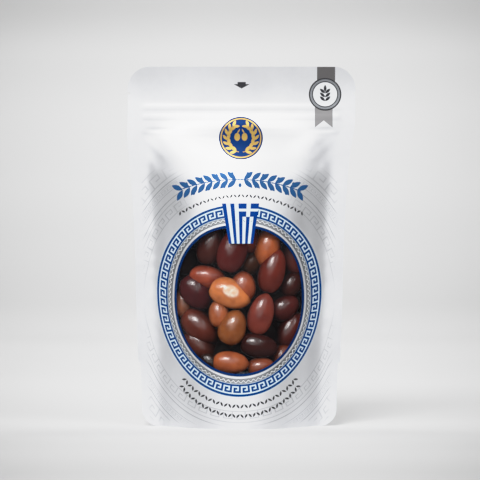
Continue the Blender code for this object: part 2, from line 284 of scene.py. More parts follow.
class PrintSettings(bpy.types.PropertyGroup):
    """The inks on the film."""

    ink_height: FloatProperty(
        name="Ink height", description="How far the print lies above the film",
        default=0.00006, unit="LENGTH", precision=6,
    )
    key_units: IntProperty(
        name="Key units", description="Units of the Greek key round the window", min=12, default=59
    )
    waves: IntProperty(
        name="Waves", description="Waves in the silver band round the window", min=12, default=96
    )
    blue: FloatVectorProperty(
        name="Blue", description="Blue of the key",
        default=(0.002, 0.052, 0.220, 1.0), subtype="COLOR", **RGBA,
    )
    navy: FloatVectorProperty(
        name="Navy", description="Dark blue round the window and of the disc",
        default=(0.002, 0.028, 0.130, 1.0), subtype="COLOR", **RGBA,
    )
    silver: FloatVectorProperty(
        name="Silver", description="Silver grey of the wave's band",
        default=(0.33, 0.345, 0.37, 1.0), subtype="COLOR", **RGBA,
    )
    pale_blue: FloatVectorProperty(
        name="Pale blue", description="Ground of the blue key",
        default=(0.66, 0.80, 0.93, 1.0), subtype="COLOR", **RGBA,
    )
    gold: FloatVectorProperty(
        name="Gold", description="Gold of the disc's rim and branch",
        default=(0.50, 0.33, 0.09, 1.0), subtype="COLOR", **RGBA,
    )
    charcoal: FloatVectorProperty(
        name="Charcoal", description="Dark grey of the small ornaments",
        default=(0.045, 0.045, 0.050, 1.0), subtype="COLOR", **RGBA,
    )
    ghost: FloatVectorProperty(
        name="Pale grey", description="Pale grey of the wide key bands",
        default=(0.50, 0.51, 0.54, 1.0), subtype="COLOR", **RGBA,
    )


class OliveSettings(bpy.types.PropertyGroup):
    """The olives behind the window."""

    roughness: FloatProperty(
        name="Roughness", description="How dull the wet skin is", default=0.20, subtype="FACTOR", min=0, max=1
    )
    seed: IntProperty(name="Seed", description="Picks the places of the deeper olives", default=7)
    deep_olives: IntProperty(
        name="Deeper olives", description="Olives behind those that lie on the film", min=0, default=22
    )


class StageSettings(bpy.types.PropertyGroup):
    """The studio round the pouch."""

    camera_distance: FloatProperty(
        name="Camera distance", description="From the camera to the pouch's side seals",
        default=1.25, unit="LENGTH",
    )
    camera_height: FloatProperty(
        name="Camera height", description="Height of the camera", default=0.1061, unit="LENGTH"
    )
    camera_offset: FloatProperty(
        name="Camera offset", description="How far the camera stands to the right",
        default=0.0004, unit="LENGTH",
    )
    frame_width: FloatProperty(
        name="Frame width", description="What the picture spans at the side seals",
        default=0.2743, unit="LENGTH",
    )
    floor_colour: FloatVectorProperty(
        name="Floor", description="Grey of the floor and backdrop",
        default=(0.92, 0.92, 0.92, 1.0), subtype="COLOR", **RGBA,
    )


def smooth_step(share):
    """Eases from 0 to 1 as the share goes from 0 to 1."""
    share = np.clip(share, 0.0, 1.0)
    return share * share * (3.0 - 2.0 * share)


def daylight(tone):
    """A screen colour from 0 to 255 as the amount of light: the power curve of screens, turned round."""
    share = np.asarray(tone, dtype=float) / 255.0
    return np.where(share <= 0.04045, share / 12.92, ((share + 0.055) / 1.055) ** 2.4)


def unit(vectors):
    """The vectors at length 1, and those without a length as they are."""
    return vectors / np.maximum(np.linalg.norm(vectors, axis=-1, keepdims=True), 1e-12)


def belly_angle(z):
    """The panel's angle at the side seal: cubic curves through BELLY_ANGLES with their neighbours' slopes."""
    heights, angles = BELLY_ANGLES.T
    slopes = np.gradient(angles, heights)
    index = np.clip(np.searchsorted(heights, z) - 1, 0, len(heights) - 2)
    span = heights[index + 1] - heights[index]
    share = (z - heights[index]) / span
    rise = angles[index + 1] - angles[index]
    start = slopes[index] * span - rise
    end = rise - slopes[index + 1] * span
    curve = share * (1.0 - share) * (start * (1.0 - share) + end * share)
    return np.maximum(angles[index] + rise * share + curve, angles[-1])


def flat_half_width(z):
    """Half the film's width at a height: straight, less round corners, the gusset's trim and the notch."""
    from_top = np.clip(TOP_CORNER_RADIUS - (HEIGHT - z), 0.0, TOP_CORNER_RADIUS)
    from_bottom = np.clip(BOTTOM_CORNER_RADIUS - z, 0.0, BOTTOM_CORNER_RADIUS)
    top = TOP_CORNER_RADIUS - np.sqrt(TOP_CORNER_RADIUS**2 - from_top**2)
    bottom = BOTTOM_CORNER_RADIUS - np.sqrt(BOTTOM_CORNER_RADIUS**2 - from_bottom**2)
    trim = GUSSET_TRIM * smooth_step((GUSSET_HEIGHT - z) / GUSSET_TRIM_RUN)
    notch = NOTCH_DEPTH * np.clip(1.0 - np.abs(z - NOTCH_HEIGHT) / NOTCH_HALF_OPENING, 0.0, 1.0)
    return HALF_WIDTH - top - bottom - trim - notch


def zip_relief(u, z):
    """Two rounded ridges across the header, each a parabola in height, on a band with soft edges."""
    ends = smooth_step((BELLY - np.abs(u)) / ZIP_END_RUN)
    ridges = 0.0
    for height in ZIP_HEIGHTS:
        ridges = ridges + np.clip(1.0 - ((z - height) / ZIP_RIDGE_HALF_HEIGHT) ** 2, 0.0, 1.0)
    band = smooth_step((z - ZIP_STEP_HEIGHT) / ZIP_STEP_RUN) * smooth_step((ZIP_BAND_TOP - z) / ZIP_BAND_RUN)
    return (ZIP_RIDGE * ridges + ZIP_STEP * band) * ends


def fold(u, z, start, end, half_width):
    """A soft ridge along a line: a bell curve across it, fading out at both ends."""
    start, end = np.array(start), np.array(end)
    run = end - start
    length = np.hypot(*run)
    along = ((u - start[0]) * run[0] + (z - start[1]) * run[1]) / length**2
    across = ((u - start[0]) * run[1] - (z - start[1]) * run[0]) / length
    return np.exp(-((across / half_width) ** 2)) * smooth_step(along * 4.0) * smooth_step((1.0 - along) * 2.5)


def creases(u, z):
    """Folds of the filled film: tension folds below the zip's ends, a dent under the zip, waves and puckers.

    Waves are products and sums of sines. Puckers are a sine up the film, in a bell curve beside the seal.
    """
    side = np.abs(u)
    height = bpy.context.scene.pouch_film.crease_height
    inside = smooth_step((BELLY - side) / 0.010)
    belly = inside * smooth_step((0.172 - z) / 0.020) * smooth_step((z - 0.004) / 0.02)
    folds = sum(strength * fold(side, z, *line) for strength, *line in FOLDS)
    dent = DENT[0] * fold(side, z, *DENT[1:])
    slow = 0.5 * np.sin(u * 95.0 + 1.3) * np.sin(z * 82.0 + 0.4) + 0.35 * np.sin(u * 170.0 + z * 120.0)
    pucker = np.sin(z * 620.0 + 1.7 * np.sin(z * 130.0)) * np.exp(-(((side - 0.0535) / 0.0035) ** 2))
    pucker = pucker * smooth_step((0.150 - z) / 0.02) * smooth_step((z - 0.04) / 0.02)
    relief = folds * smooth_step((BELLY - side) / 0.003) - dent * inside
    return height * (relief + 0.5 * belly * slow + 0.25 * pucker)


def header_shift(z):
    """How far the header leans to the right: eased in from the shoulders to the zip."""
    return HEADER_SHIFT * smooth_step((z - HEADER_SHIFT_START) / HEADER_SHIFT_RUN)


def header_curl(z):
    """How far the top of the header curls forward: the square of the height above the zip."""
    return HEADER_CURL * np.clip((z - HEADER_CURL_START) / HEADER_CURL_RUN, 0.0, 1.0) ** 2


def swing(u, z, side=FRONT):
    """How far the panel swings out: an arc between the seals that leaves them softly, by a bell curve."""
    angle = belly_angle(z)
    radius = BELLY / angle
    soft = BACK_EASE
    if side == FRONT:
        soft = SEAL_EASE + FOOT_EASE * smooth_step((FOOT_TOP - z) / FOOT_RUN)
    from_seal = BELLY - np.minimum(np.abs(u), BELLY)
    eased = from_seal * (1.0 - np.exp(-((from_seal / soft) ** 2)))
    return radius * (np.cos((BELLY - eased) / radius) - np.cos(angle))


def shoulder(u, z):
    """A low bulge at each upper corner of the filled part: a bell curve each way that ends at the seal."""
    across = (np.abs(u) - SHOULDER_PLACE[0]) / SHOULDER_REACH[0]
    up = (z - SHOULDER_PLACE[1]) / SHOULDER_REACH[1]
    inside = smooth_step((BELLY - np.abs(u)) / SHOULDER_SEAL_RUN)
    return SHOULDER_BULGE * np.exp(-(across**2) - up**2) * inside


def bare_film(u, z, side):
    """A point of the panel at arc length u from its middle line: an arc between the seals, and its relief."""
    radius = BELLY / belly_angle(z)
    inside = np.minimum(np.abs(u), BELLY)
    across = radius * np.sin(inside / radius) + np.maximum(np.abs(u) - BELLY, 0.0)
    pinch = smooth_step((flat_half_width(z) - np.abs(u)) / CORNER_PINCH)
    depth = SEAL_HALF_THICKNESS + swing(u, z, side) * pinch
    depth = depth + zip_relief(u, z) + creases(u, z) + shoulder(u, z)
    return np.stack([np.sign(u) * across + header_shift(z), side * depth - header_curl(z), z], axis=-1)


def film(u, z, lift=0.0, side=FRONT):
    """The panel moved along its normal by lift. The normal is the cross product of two short steps."""
    u, z = np.broadcast_arrays(np.asarray(u, dtype=float), np.asarray(z, dtype=float))
    step = 2e-5
    along_u = bare_film(u + step, z, side) - bare_film(u - step, z, side)
    along_z = bare_film(u, z + step, side) - bare_film(u, z - step, side)
    normal = unit(np.cross(along_u, along_z) * -side)
    return bare_film(u, z, side) + lift * normal


def arc_length(x, z):
    """The arc length from the middle line to a place across, by the arcsine of x over the arc's radius."""
    angle = belly_angle(z)
    radius = BELLY / angle
    edge = radius * np.sin(angle)
    x = x - header_shift(z)
    inside = np.clip(x, -edge, edge)
    return radius * np.arcsin(inside / radius) + (x - inside)


def on_front(x, z, lift):
    """The point of the front panel at a place across and up, with lift above the film."""
    return film(arc_length(x, z), z, lift)


def oval(turn, shape, grow=0.0):
    """An oval's edge: powers of cosine and sine, with one fullness above its middle and one below."""
    height, half_width, upper, lower, upper_fullness, lower_fullness = shape
    cosine, sine = np.cos(turn), np.sin(turn)
    power = 2.0 / np.where(sine > 0.0, upper_fullness, lower_fullness)
    reach = np.where(sine > 0.0, upper, lower) + grow
    x = (half_width + grow) * np.sign(cosine) * np.abs(cosine) ** power
    z = height + reach * np.sign(sine) * np.abs(sine) ** power
    return x, z


def oval_share(x, z, shape):
    """How far out a place is: 1 on the oval's edge, less inside."""
    height, half_width, upper, lower, upper_fullness, lower_fullness = shape
    above = z > height
    fullness = np.where(above, upper_fullness, lower_fullness)
    reach = np.where(above, upper, lower)
    return (np.abs(x / half_width) ** fullness + np.abs((z - height) / reach) ** fullness) ** (1.0 / fullness)


def between_ovals(share, turn):
    """A place on the way from the window's edge to the ring's outer edge."""
    inner_x, inner_z = oval(turn, WINDOW_OVAL)
    outer_x, outer_z = oval(turn, RING_OVAL)
    return inner_x + share * (outer_x - inner_x), inner_z + share * (outer_z - inner_z)


def even_turns(count, share):
    """Turns that part the ring at this share into equal lengths."""
    turn = np.linspace(0.0, 2 * math.pi, 2881)
    x, z = between_ovals(share, turn)
    length = np.concatenate([[0.0], np.cumsum(np.hypot(np.diff(x), np.diff(z)))])
    return np.interp(np.linspace(0.0, length[-1], count, endpoint=False), length, turn)


def running(widths):
    """Edges from 0 to 1 of neighbours with these widths."""
    return np.concatenate([[0.0], np.cumsum(widths)]) / np.sum(widths)


def grid_faces(rows, columns, wrap=False):
    """Quads between neighbours of a grid of points, as an array of rows by columns by four corners."""
    row = np.arange(rows - 1)[:, None] * columns
    column = np.arange(columns if wrap else columns - 1)[None, :]
    beside = (column + 1) % columns
    corners = (row + column, row + beside, row + columns + beside, row + columns + column)
    return np.stack(np.broadcast_arrays(*corners), axis=-1)


def window_dome(rings, around, grow):
    """Rings of places from the window's edge, moved out by grow, inwards, and the faces between them.

    The second group of faces closes the innermost ring with a middle point, which comes after the rings.
    """
    turn = np.linspace(0.0, 2 * math.pi, around, endpoint=False)
    share, angle = np.meshgrid(np.linspace(1.0, 0.0, rings + 1)[:-1], turn, indexing="ij")
    x, z = oval(angle, WINDOW_OVAL, grow)
    innermost = (rings - 1) * around + np.arange(around)
    beside = (rings - 1) * around + (np.arange(around) + 1) % around
    fan = np.stack([innermost, beside, np.full(around, rings * around)], axis=-1)
    faces = (grid_faces(rings, around, wrap=True).reshape(-1, 4), fan)
    return x * share, WINDOW_OVAL[0] + (z - WINDOW_OVAL[0]) * share, faces


def put_mesh(name, points, *face_groups):
    """A new object at the origin with these points and faces, and which points its faces use."""
    points = np.asarray(points, dtype=float).reshape(-1, 3)
    loops = np.concatenate([faces.reshape(-1) for faces in face_groups])
    sizes = [np.full(faces.size // faces.shape[-1], faces.shape[-1]) for faces in face_groups]
    sizes = np.concatenate(sizes)
    used, loops = np.unique(loops, return_inverse=True)
    mesh = bpy.data.meshes.new(name)
    mesh.vertices.add(len(used))
    mesh.vertices.foreach_set("co", points[used].astype(np.float32).ravel())
    mesh.loops.add(len(loops))
    mesh.loops.foreach_set("vertex_index", loops.astype(np.int32).ravel())
    mesh.polygons.add(len(sizes))
    mesh.polygons.foreach_set("loop_start", (np.cumsum(sizes) - sizes).astype(np.int32))
    mesh.update(calc_edges=True)
    mesh.shade_smooth()
    made = bpy.data.objects.new(name, mesh)
    bpy.context.scene.collection.objects.link(made)
    return made, used


def join_points(mesh, face_out=False):
    """Joins points that lie together, drops faces without area and, if asked, turns the faces outwards."""
    joined = bmesh.new()
    joined.from_mesh(mesh)
    bmesh.ops.remove_doubles(joined, verts=joined.verts, dist=JOIN)
    bmesh.ops.dissolve_degenerate(joined, edges=joined.edges, dist=JOIN)
    if face_out:
        bmesh.ops.recalc_face_normals(joined, faces=joined.faces)
    joined.to_mesh(mesh)
    joined.free()


def give_wall(piece, thickness, angle=40.0):
    """Gives a sheet its thickness behind its face, with sharp edges along the rim."""
    wall = piece.modifiers.new("wall", "SOLIDIFY")
    wall.thickness = thickness
    wall.offset = -1.0
    wall.use_rim = True
    graph = bpy.context.evaluated_depsgraph_get()
    thick = bpy.data.meshes.new_from_object(piece.evaluated_get(graph))
    piece.modifiers.clear()
    piece.data = thick
    thick.set_sharp_from_angle(angle=math.radians(angle))


def finish_piece(piece, material, slot, *nodes):
    """Paints a piece, lets it ride on the pouch, and hides the nodes that it stands for. Its slot is not
    used.
    """
    piece.data.materials.clear()
    piece.data.materials.append(material)
    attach(piece, "root")
    if nodes:
        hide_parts(*nodes)


class Nodes:
    """Short ways to add and link the nodes of one tree."""

    def __init__(self, tree):
        self.tree = tree

    def fill(self, node, values):
        """Links or sets inputs of a node."""
        for socket, value in values.items():
            if isinstance(value, bpy.types.NodeSocket):
                self.tree.links.new(value, node.inputs[socket])
            else:
                node.inputs[socket].default_value = value

    def add(self, kind, values=None, **settings):
        """A new node with these settings and inputs."""
        made = self.tree.nodes.new(kind)
        for name, value in settings.items():
            setattr(made, name, value)
        self.fill(made, values or {})
        return made

    def place(self):
        """The place on the object, along its own axes."""
        return self.add("ShaderNodeTexCoord").outputs["Object"]

    def attribute(self, name):
        """The colour that the mesh's points hold under this name."""
        return self.add("ShaderNodeAttribute", attribute_name=name).outputs["Color"]

    def noise(self, vector, scale, detail=3.0, roughness=0.5):
        """Cloudy noise."""
        values = {"Vector": vector, "Scale": scale, "Detail": detail, "Roughness": roughness}
        return self.add("ShaderNodeTexNoise", values).outputs["Fac"]

    def between(self, value, low, high, new_low, new_high):
        """A value carried over from one range to another and held at its ends."""
        values = {"Value": value, "From Min": low, "From Max": high, "To Min": new_low, "To Max": new_high}
        return self.add("ShaderNodeMapRange", values).outputs["Result"]

    def mix(self, share, first, second, blend="MIX"):
        """Two colours, mixed by a share."""
        values = {0: share, 6: first, 7: second}
        return self.add("ShaderNodeMix", values, data_type="RGBA", blend_type=blend).outputs[2]

    def tint(self, colour, by):
        """A colour times another."""
        return self.mix(1.0, colour, by, "MULTIPLY")

    def ramp(self, value, stops):
        """A smooth grey for a value from 0 to 1, through stops of place and grey."""
        made = self.add("ShaderNodeValToRGB", {"Fac": value})
        made.color_ramp.interpolation = "EASE"
        elements = made.color_ramp.elements
        for place, _ in stops[1:-1]:
            elements.new(place)
        for element, (place, grey) in zip(elements, stops):
            element.position = place
            element.color = (grey, grey, grey, 1.0)
        return made.outputs["Color"]

    def maths(self, operation, first, second):
        """The sum or another result of two values."""
        return self.add("ShaderNodeMath", {0: first, 1: second}, operation=operation).outputs[0]

    def weighted(self, first, first_weight, second, second_weight):
        """The sum of two values times their weights."""
        first = self.maths("MULTIPLY", first, first_weight)
        return self.maths("ADD", first, self.maths("MULTIPLY", second, second_weight))

    def bumps(self, height, distance, strength):
        """The surface's direction, bent by a height."""
        values = {"Height": height, "Distance": distance, "Strength": strength}
        return self.add("ShaderNodeBump", values).outputs["Normal"]


def new_material(name):
    """A new material, the helpers for its nodes, and its shader."""
    material = bpy.data.materials.new(name)
    material.use_nodes = True
    return material, Nodes(material.node_tree), material.node_tree.nodes["Principled BSDF"]


def new_group(name, inputs, outputs):
    """A shader node group with named sockets, and the helpers to fill it."""
    group = bpy.data.node_groups.new(name, "ShaderNodeTree")
    for label, kind, value in inputs:
        socket = group.interface.new_socket(label, in_out="INPUT", socket_type=kind)
        if value is not None:
            socket.default_value = value
    for label, kind in outputs:
        group.interface.new_socket(label, in_out="OUTPUT", socket_type=kind)
    nodes = Nodes(group)
    return group, nodes, nodes.add("NodeGroupInput"), nodes.add("NodeGroupOutput")


def film_grain_group():
    """Slow and fine unevenness of film: a shade for its colour, a roughness, and a height for its bumps."""
    if "Film grain" in bpy.data.node_groups:
        return bpy.data.node_groups["Film grain"]
    colour, number = "NodeSocketColor", "NodeSocketFloat"
    group, nodes, given, result = new_group(
        "Film grain",
        (("Colour", colour, None), ("Roughness", number, 0.35), ("Spread", number, 0.05)),
        (("Colour", colour), ("Roughness", number), ("Height", number)),
    )
    place = nodes.place()
    slow = nodes.noise(place, 38.0, 2.0)
    fine = nodes.noise(place, 300.0, 1.0)
    shade = nodes.between(nodes.maths("ADD", slow, fine), 0.6, 1.4, 0.955, 1.0)
    low = nodes.maths("SUBTRACT", given.outputs["Roughness"], given.outputs["Spread"])
    high = nodes.maths("ADD", given.outputs["Roughness"], given.outputs["Spread"])
    values = {
        "Colour": nodes.tint(given.outputs["Colour"], shade),
        "Roughness": nodes.between(slow, 0.3, 0.7, low, high),
        "Height": nodes.weighted(slow, 0.8, fine, 0.04),
    }
    nodes.fill(result, values)
    return group


def film_material(name, colour, roughness, metallic, shine=0.3):
    """A printed or plain film with its grain. Its colour is given, or the name of what the points hold."""
    if name in bpy.data.materials:
        return bpy.data.materials[name]
    material, nodes, shader = new_material(name)
    colour = nodes.attribute(colour) if isinstance(colour, str) else tuple(colour)
    values = {"Colour": colour, "Roughness": roughness}
    grain = nodes.add("ShaderNodeGroup", values, node_tree=film_grain_group()).outputs
    values = {
        "Base Color": grain["Colour"],
        "Roughness": grain["Roughness"],
        "Normal": nodes.bumps(grain["Height"], FILM_BUMP, 1.0),
        "Metallic": metallic,
        "Specular IOR Level": shine,
    }
    nodes.fill(shader, values)
    return material


def white_film(name="white film", colour=None):
    """The film's own material, or the like in a colour that the points hold."""
    settings = bpy.context.scene.pouch_film
    return film_material(name, colour or settings.colour, settings.roughness, settings.metallic)


def ink(name, colour, roughness=0.36, metallic=0.3):
    """A printed ink on the film."""
    return film_material(name, colour, roughness, metallic, shine=0.08)


def white_ink():
    """The white of the wave and of the medal's face."""
    return ink("white ink", (0.80, 0.82, 0.85, 1.0), metallic=0.2)


def grey_ink():
    """The grey of the thin wave."""
    return ink("grey ink", (0.16, 0.16, 0.16, 1.0))


def silver_ink():
    """The silver of the wave's band and of the medal's rim."""
    return ink("silver ink", bpy.context.scene.pouch_print.silver, 0.30, 0.85)


def charcoal_ink():
    """The dark grey of the small ornaments."""
    return ink("charcoal ink", bpy.context.scene.pouch_print.charcoal)


def navy_ink():
    """The dark blue of the window's edge and of the disc."""
    return ink("navy ink", bpy.context.scene.pouch_print.navy)


def film_rows(spacing):
    """The heights of the film's rows: even, and close together at the corners, the notch and the zip."""
    even = np.arange(0.0, HEIGHT, spacing)
    bottom = BOTTOM_CORNER_RADIUS * (1.0 - np.cos(np.linspace(0.0, math.pi / 2, 14)))
    top = HEIGHT - TOP_CORNER_RADIUS * (1.0 - np.cos(np.linspace(math.pi / 2, 0.0, 16)))
    notch = NOTCH_HEIGHT + NOTCH_HALF_OPENING * np.linspace(-1.0, 1.0, 5)
    trim = GUSSET_HEIGHT - GUSSET_TRIM_RUN * np.linspace(0.0, 1.0, 5)
    ridges = np.arange(ZIP_HEIGHTS[0] - 0.002, ZIP_HEIGHTS[1] + 0.002, min(spacing, ZIP_ROW_STEP))
    rows = np.unique(np.round(np.concatenate([even, bottom, top, notch, trim, ridges]), 6))
    rows = rows[np.concatenate([[True], np.diff(rows) > CLOSEST_ROWS])]
    rows[-1] = HEIGHT
    return rows


def make_panel(name, side, spacing, columns, window):
    """A panel of film as a grid of arc lengths and heights. Points inside the window move out to its edge."""
    rows = film_rows(spacing)
    z, share = np.meshgrid(rows, np.linspace(-1.0, 1.0, columns), indexing="ij")
    u = share * flat_half_width(z)
    faces = grid_faces(len(rows), columns)
    if window:
        x = bare_film(u, z, side)[..., 0]
        reach = oval_share(x, z, WINDOW_OVAL)
        inside = reach < 1.0
        gone = inside.ravel()[faces].all(axis=-1)
        scale = np.where(inside, 1.0 / np.maximum(reach, 0.2), 1.0)
        moved_z = WINDOW_OVAL[0] + (z - WINDOW_OVAL[0]) * scale
        u = np.where(inside, arc_length(x * scale, moved_z), u)
        z = np.where(inside, moved_z, z)
        faces = faces[~gone]
    if side == BACK:
        faces = faces[..., ::-1]
    panel, _ = put_mesh(name, film(u, z, 0.0, side), faces)
    give_wall(panel, bpy.context.scene.pouch_film.thickness)
    finish_piece(panel, white_film(), "film", "pouch")


class POUCH_OT_film(bpy.types.Operator):
    """Makes the front and back panels of the bag"""

    bl_idname = "pouch.film"
    bl_label = "Film panels"

    def execute(self, context):
        make_panel("front_film", FRONT, 0.0010, 121, True)
        make_panel("back_film", BACK, 0.0018, 77, False)
        return {"FINISHED"}


def weld_height(u):
    """Where the gusset's panel leaves the front and back: low in the middle and rising to the sides."""
    return GUSSET_LOW + (GUSSET_HEIGHT - GUSSET_LOW) * (np.abs(u) / BELLY) ** 2.4


class POUCH_OT_gusset(bpy.types.Operator):
    """Makes the folded panel that closes the bag's bottom"""

    bl_idname = "pouch.gusset"
    bl_label = "Gusset"

    def execute(self, context):
        across = np.linspace(-1.0, 1.0, 81)
        up = np.linspace(0.0, 1.0, 9)
        over = np.linspace(-1.0, 1.0, 25)[1:-1]
        widest = BELLY - GUSSET_INSET
        top = weld_height(across * widest)
        z_skirt = up[:, None] * top
        u_skirt = across * np.minimum(flat_half_width(z_skirt) - GUSSET_INSET, widest)
        inset = -context.scene.pouch_film.thickness - 0.00002
        front = film(u_skirt, z_skirt, inset, FRONT)
        back = film(u_skirt, z_skirt, inset, BACK)[::-1]
        share = (over[:, None, None] + 1.0) / 2
        panel = front[-1] * (1.0 - share) + back[0] * share
        arch = GUSSET_ARCH * (1.0 - np.abs(across) ** 3)
        panel[..., 2] += arch * (1.0 - over[:, None] ** 2)
        points = np.concatenate([front, panel, back])
        gusset, _ = put_mesh("gusset_film", points, grid_faces(len(points), len(across))[..., ::-1])
        give_wall(gusset, GUSSET_THICKNESS)
        finish_piece(gusset, white_film(), "film", "pouch")
        return {"FINISHED"}


def clear_material():
    """Clear film: almost nothing but its shine, with faint smears in its roughness."""
    material, nodes, shader = new_material("clear film")
    place = nodes.place()
    values = {
        "Base Color": (0.10, 0.10, 0.11, 1.0),
        "Roughness": nodes.between(nodes.noise(place, 60.0, 2.0), 0.35, 0.65, 0.05, 0.14),
        "Alpha": nodes.between(nodes.noise(place, 25.0, 2.0), 0.35, 0.65, 0.02, 0.05),
    }
    nodes.fill(shader, values)
    return material


class POUCH_OT_window(bpy.types.Operator):
    """Makes the clear film behind the window's edge"""

    bl_idname = "pouch.window"
    bl_label = "Clear window"

    def execute(self, context):
        x, z, faces = window_dome(CLEAR_RINGS, CLEAR_AROUND, CLEAR_MARGIN)
        points = on_front(np.append(x, 0.0), np.append(z, WINDOW_OVAL[0]), -CLEAR_SINK)
        clear, _ = put_mesh("window_film", points, *[group[:, ::-1] for group in faces])
        give_wall(clear, CLEAR_THICKNESS)
        finish_piece(clear, clear_material(), "clear_film", "window")
        return {"FINISHED"}


def olive_shape(length, width, bend, lumps):
    """Olives along +X: a full round end and a drawn one with a small point, a little bent and lumpy.

    Radius is the sine of the way along, fuller at the round end. Arrays are olive by along by around by axis.
    """
    along = np.linspace(0.0, math.pi, OLIVE_ALONG)
    around = np.linspace(0.0, 2 * math.pi, OLIVE_AROUND, endpoint=False)
    way, turn = np.meshgrid(along, around, indexing="ij")
    length, width, bend, phase = (values[:, None, None] for values in (length, width, bend, lumps))
    lump = 1.0 + 0.018 * np.sin(2 * turn + phase) * np.sin(way)
    lump = lump + 0.012 * np.sin(3 * turn - 2 * phase + 2 * way)
    radius = width / 2 * np.sin(way) ** OLIVE_ROUNDNESS * (1.0 + OLIVE_FULLNESS * np.cos(way)) * lump
    dimple = OLIVE_DIMPLE * np.exp(-((way / 0.16) ** 2))
    tip = OLIVE_TIP * np.exp(-(((math.pi - way) / 0.20) ** 2))
    x = length * (-np.cos(way) / 2 + dimple + tip)
    shift = bend * width * np.sin(way)
    return np.stack([x, radius * np.cos(turn), radius * np.sin(turn) + shift], axis=-1)


def place_olives(points, right, up, tilt, lean, gap):
    """Turns olives by their tilt, half way round to the film's slope, and slides them back behind the film.

    Each goes along Y until its nearest point lies the gap behind the film.
    """
    x, z = right, WINDOW_OVAL[0] + up
    u = arc_length(x, z)
    step = 4e-4
    across = smooth_film(u + step, z) - smooth_film(u - step, z)
    upward = smooth_film(u, z + step) - smooth_film(u, z - step)
    outward = unit(unit(np.cross(across, upward)) + [0.0, -1.0, 0.0])
    across = unit(np.cross([0.0, 0.0, 1.0], outward))
    upward = np.cross(outward, across)
    tilt = np.radians(tilt)[:, None]
    lean = np.radians(lean)[:, None]
    axis = across * np.cos(tilt) + upward * np.sin(tilt)
    beside = -across * np.sin(tilt) + upward * np.cos(tilt)
    leaned = axis * np.cos(lean) + outward * np.sin(lean)
    facing = -axis * np.sin(lean) + outward * np.cos(lean)
    frames = np.stack([leaned, -facing, beside], axis=1)
    placed = np.einsum("nabk,nkc->nabc", points, frames)
    placed += np.stack([x, np.zeros_like(x), z], axis=-1)[:, None, None, :]
    placed[..., 1] += (gap - behind_film(placed).min(axis=(1, 2)))[:, None, None]
    return placed


def behind_film(points):
    """How far points lie behind the front panel, along Y."""
    x, z = points[..., 0], points[..., 2]
    return points[..., 1] - smooth_film(arc_length(x, z), z)[..., 1]


def smooth_film(u, z):
    """The front panel's plain arc between the seals."""
    radius = BELLY / belly_angle(z)
    return np.stack([radius * np.sin(u / radius), -SEAL_HALF_THICKNESS - swing(u, z), z], axis=-1)


def deep_places(count, random):
    """Places of the olives of the layer behind: a sunflower's spiral over the window, a little moved."""
    index = np.arange(count) + 0.5
    reach = np.sqrt(index / count) * 0.92
    turn = index * math.pi * (3.0 - math.sqrt(5.0))
    right = WINDOW_OVAL[1] * reach * np.cos(turn) + random.uniform(-DEEP_MOVE, DEEP_MOVE, count)
    up = WINDOW_OVAL[2] * reach * np.sin(turn) + random.uniform(-DEEP_MOVE, DEEP_MOVE, count)
    return right, up


def olive_material():
    """Olive skin: each olive's own tone with its painted shade, blotches, pores, fine wrinkles and a clear
    coat in patches.

    The marks that the points hold are red on the scar, green where skin is duller and blue where the coat is
    laid: a painted highlight on the side that faces halfway between the view and the key light, where the
    coat's real reflection shows.
    """
    roughness = bpy.context.scene.pouch_olives.roughness
    material, nodes, shader = new_material("olive skin")
    place = nodes.place()
    skin = nodes.attribute("skin")
    marks = nodes.add("ShaderNodeSeparateColor", {"Color": nodes.attribute("marks")}).outputs
    blotches = nodes.noise(place, 150.0, 4.0, 0.6)
    warmth = nodes.noise(place, 95.0)
    wrinkles = nodes.noise(place, 520.0, 4.0, 0.6)
    pores = nodes.add("ShaderNodeTexVoronoi", {"Vector": place, "Scale": 800.0}, feature="F1")
    colour = skin
    for share, by in (
        (nodes.between(blotches, 0.40, 0.66, 0.0, 0.75), (0.60, 0.46, 0.46, 1.0)),
        (nodes.between(warmth, 0.50, 0.70, 0.0, 0.6), (1.32, 1.22, 1.05, 1.0)),
        (nodes.between(pores.outputs["Distance"], 0.10, 0.22, 0.35, 0.0), (1.9, 1.7, 1.4, 1.0)),
    ):
        colour = nodes.mix(share, colour, nodes.tint(skin, by))
    grain = nodes.between(nodes.noise(place, 520.0, 2.0), 0.35, 0.65, 0.0, 1.0)
    flesh = nodes.mix(grain, (0.80, 0.48, 0.32, 1.0), (0.92, 0.76, 0.62, 1.0))
    rough = nodes.between(wrinkles, 0.35, 0.65, roughness - 0.05, roughness + 0.07)
    brine = nodes.between(nodes.noise(place, 260.0, 2.0), 0.30, 0.60, 0.55, 1.0)
    values = {
        "Base Color": nodes.mix(marks["Red"], colour, flesh),
        "Normal": nodes.bumps(nodes.weighted(wrinkles, 0.5, blotches, 0.2), 0.00014, 0.5),
        "Roughness": nodes.maths("ADD", rough, nodes.maths("MULTIPLY", marks["Green"], 0.6)),
        "Coat Weight": nodes.maths("MULTIPLY", marks["Blue"], brine),
        "Coat IOR": 1.8,
        "Coat Roughness": 0.22,
        "Specular IOR Level": 0.03,
        "Subsurface Weight": 0.08,
        "Subsurface Radius": (0.004, 0.0015, 0.0008),
    }
    nodes.fill(shader, values)
    return material


def paint_points(piece, name, colours):
    """Stores a colour for each point of the piece."""
    layer = piece.data.color_attributes.new(name, "FLOAT_COLOR", "POINT")
    layer.data.foreach_set("color", colours.astype(np.float32).ravel())


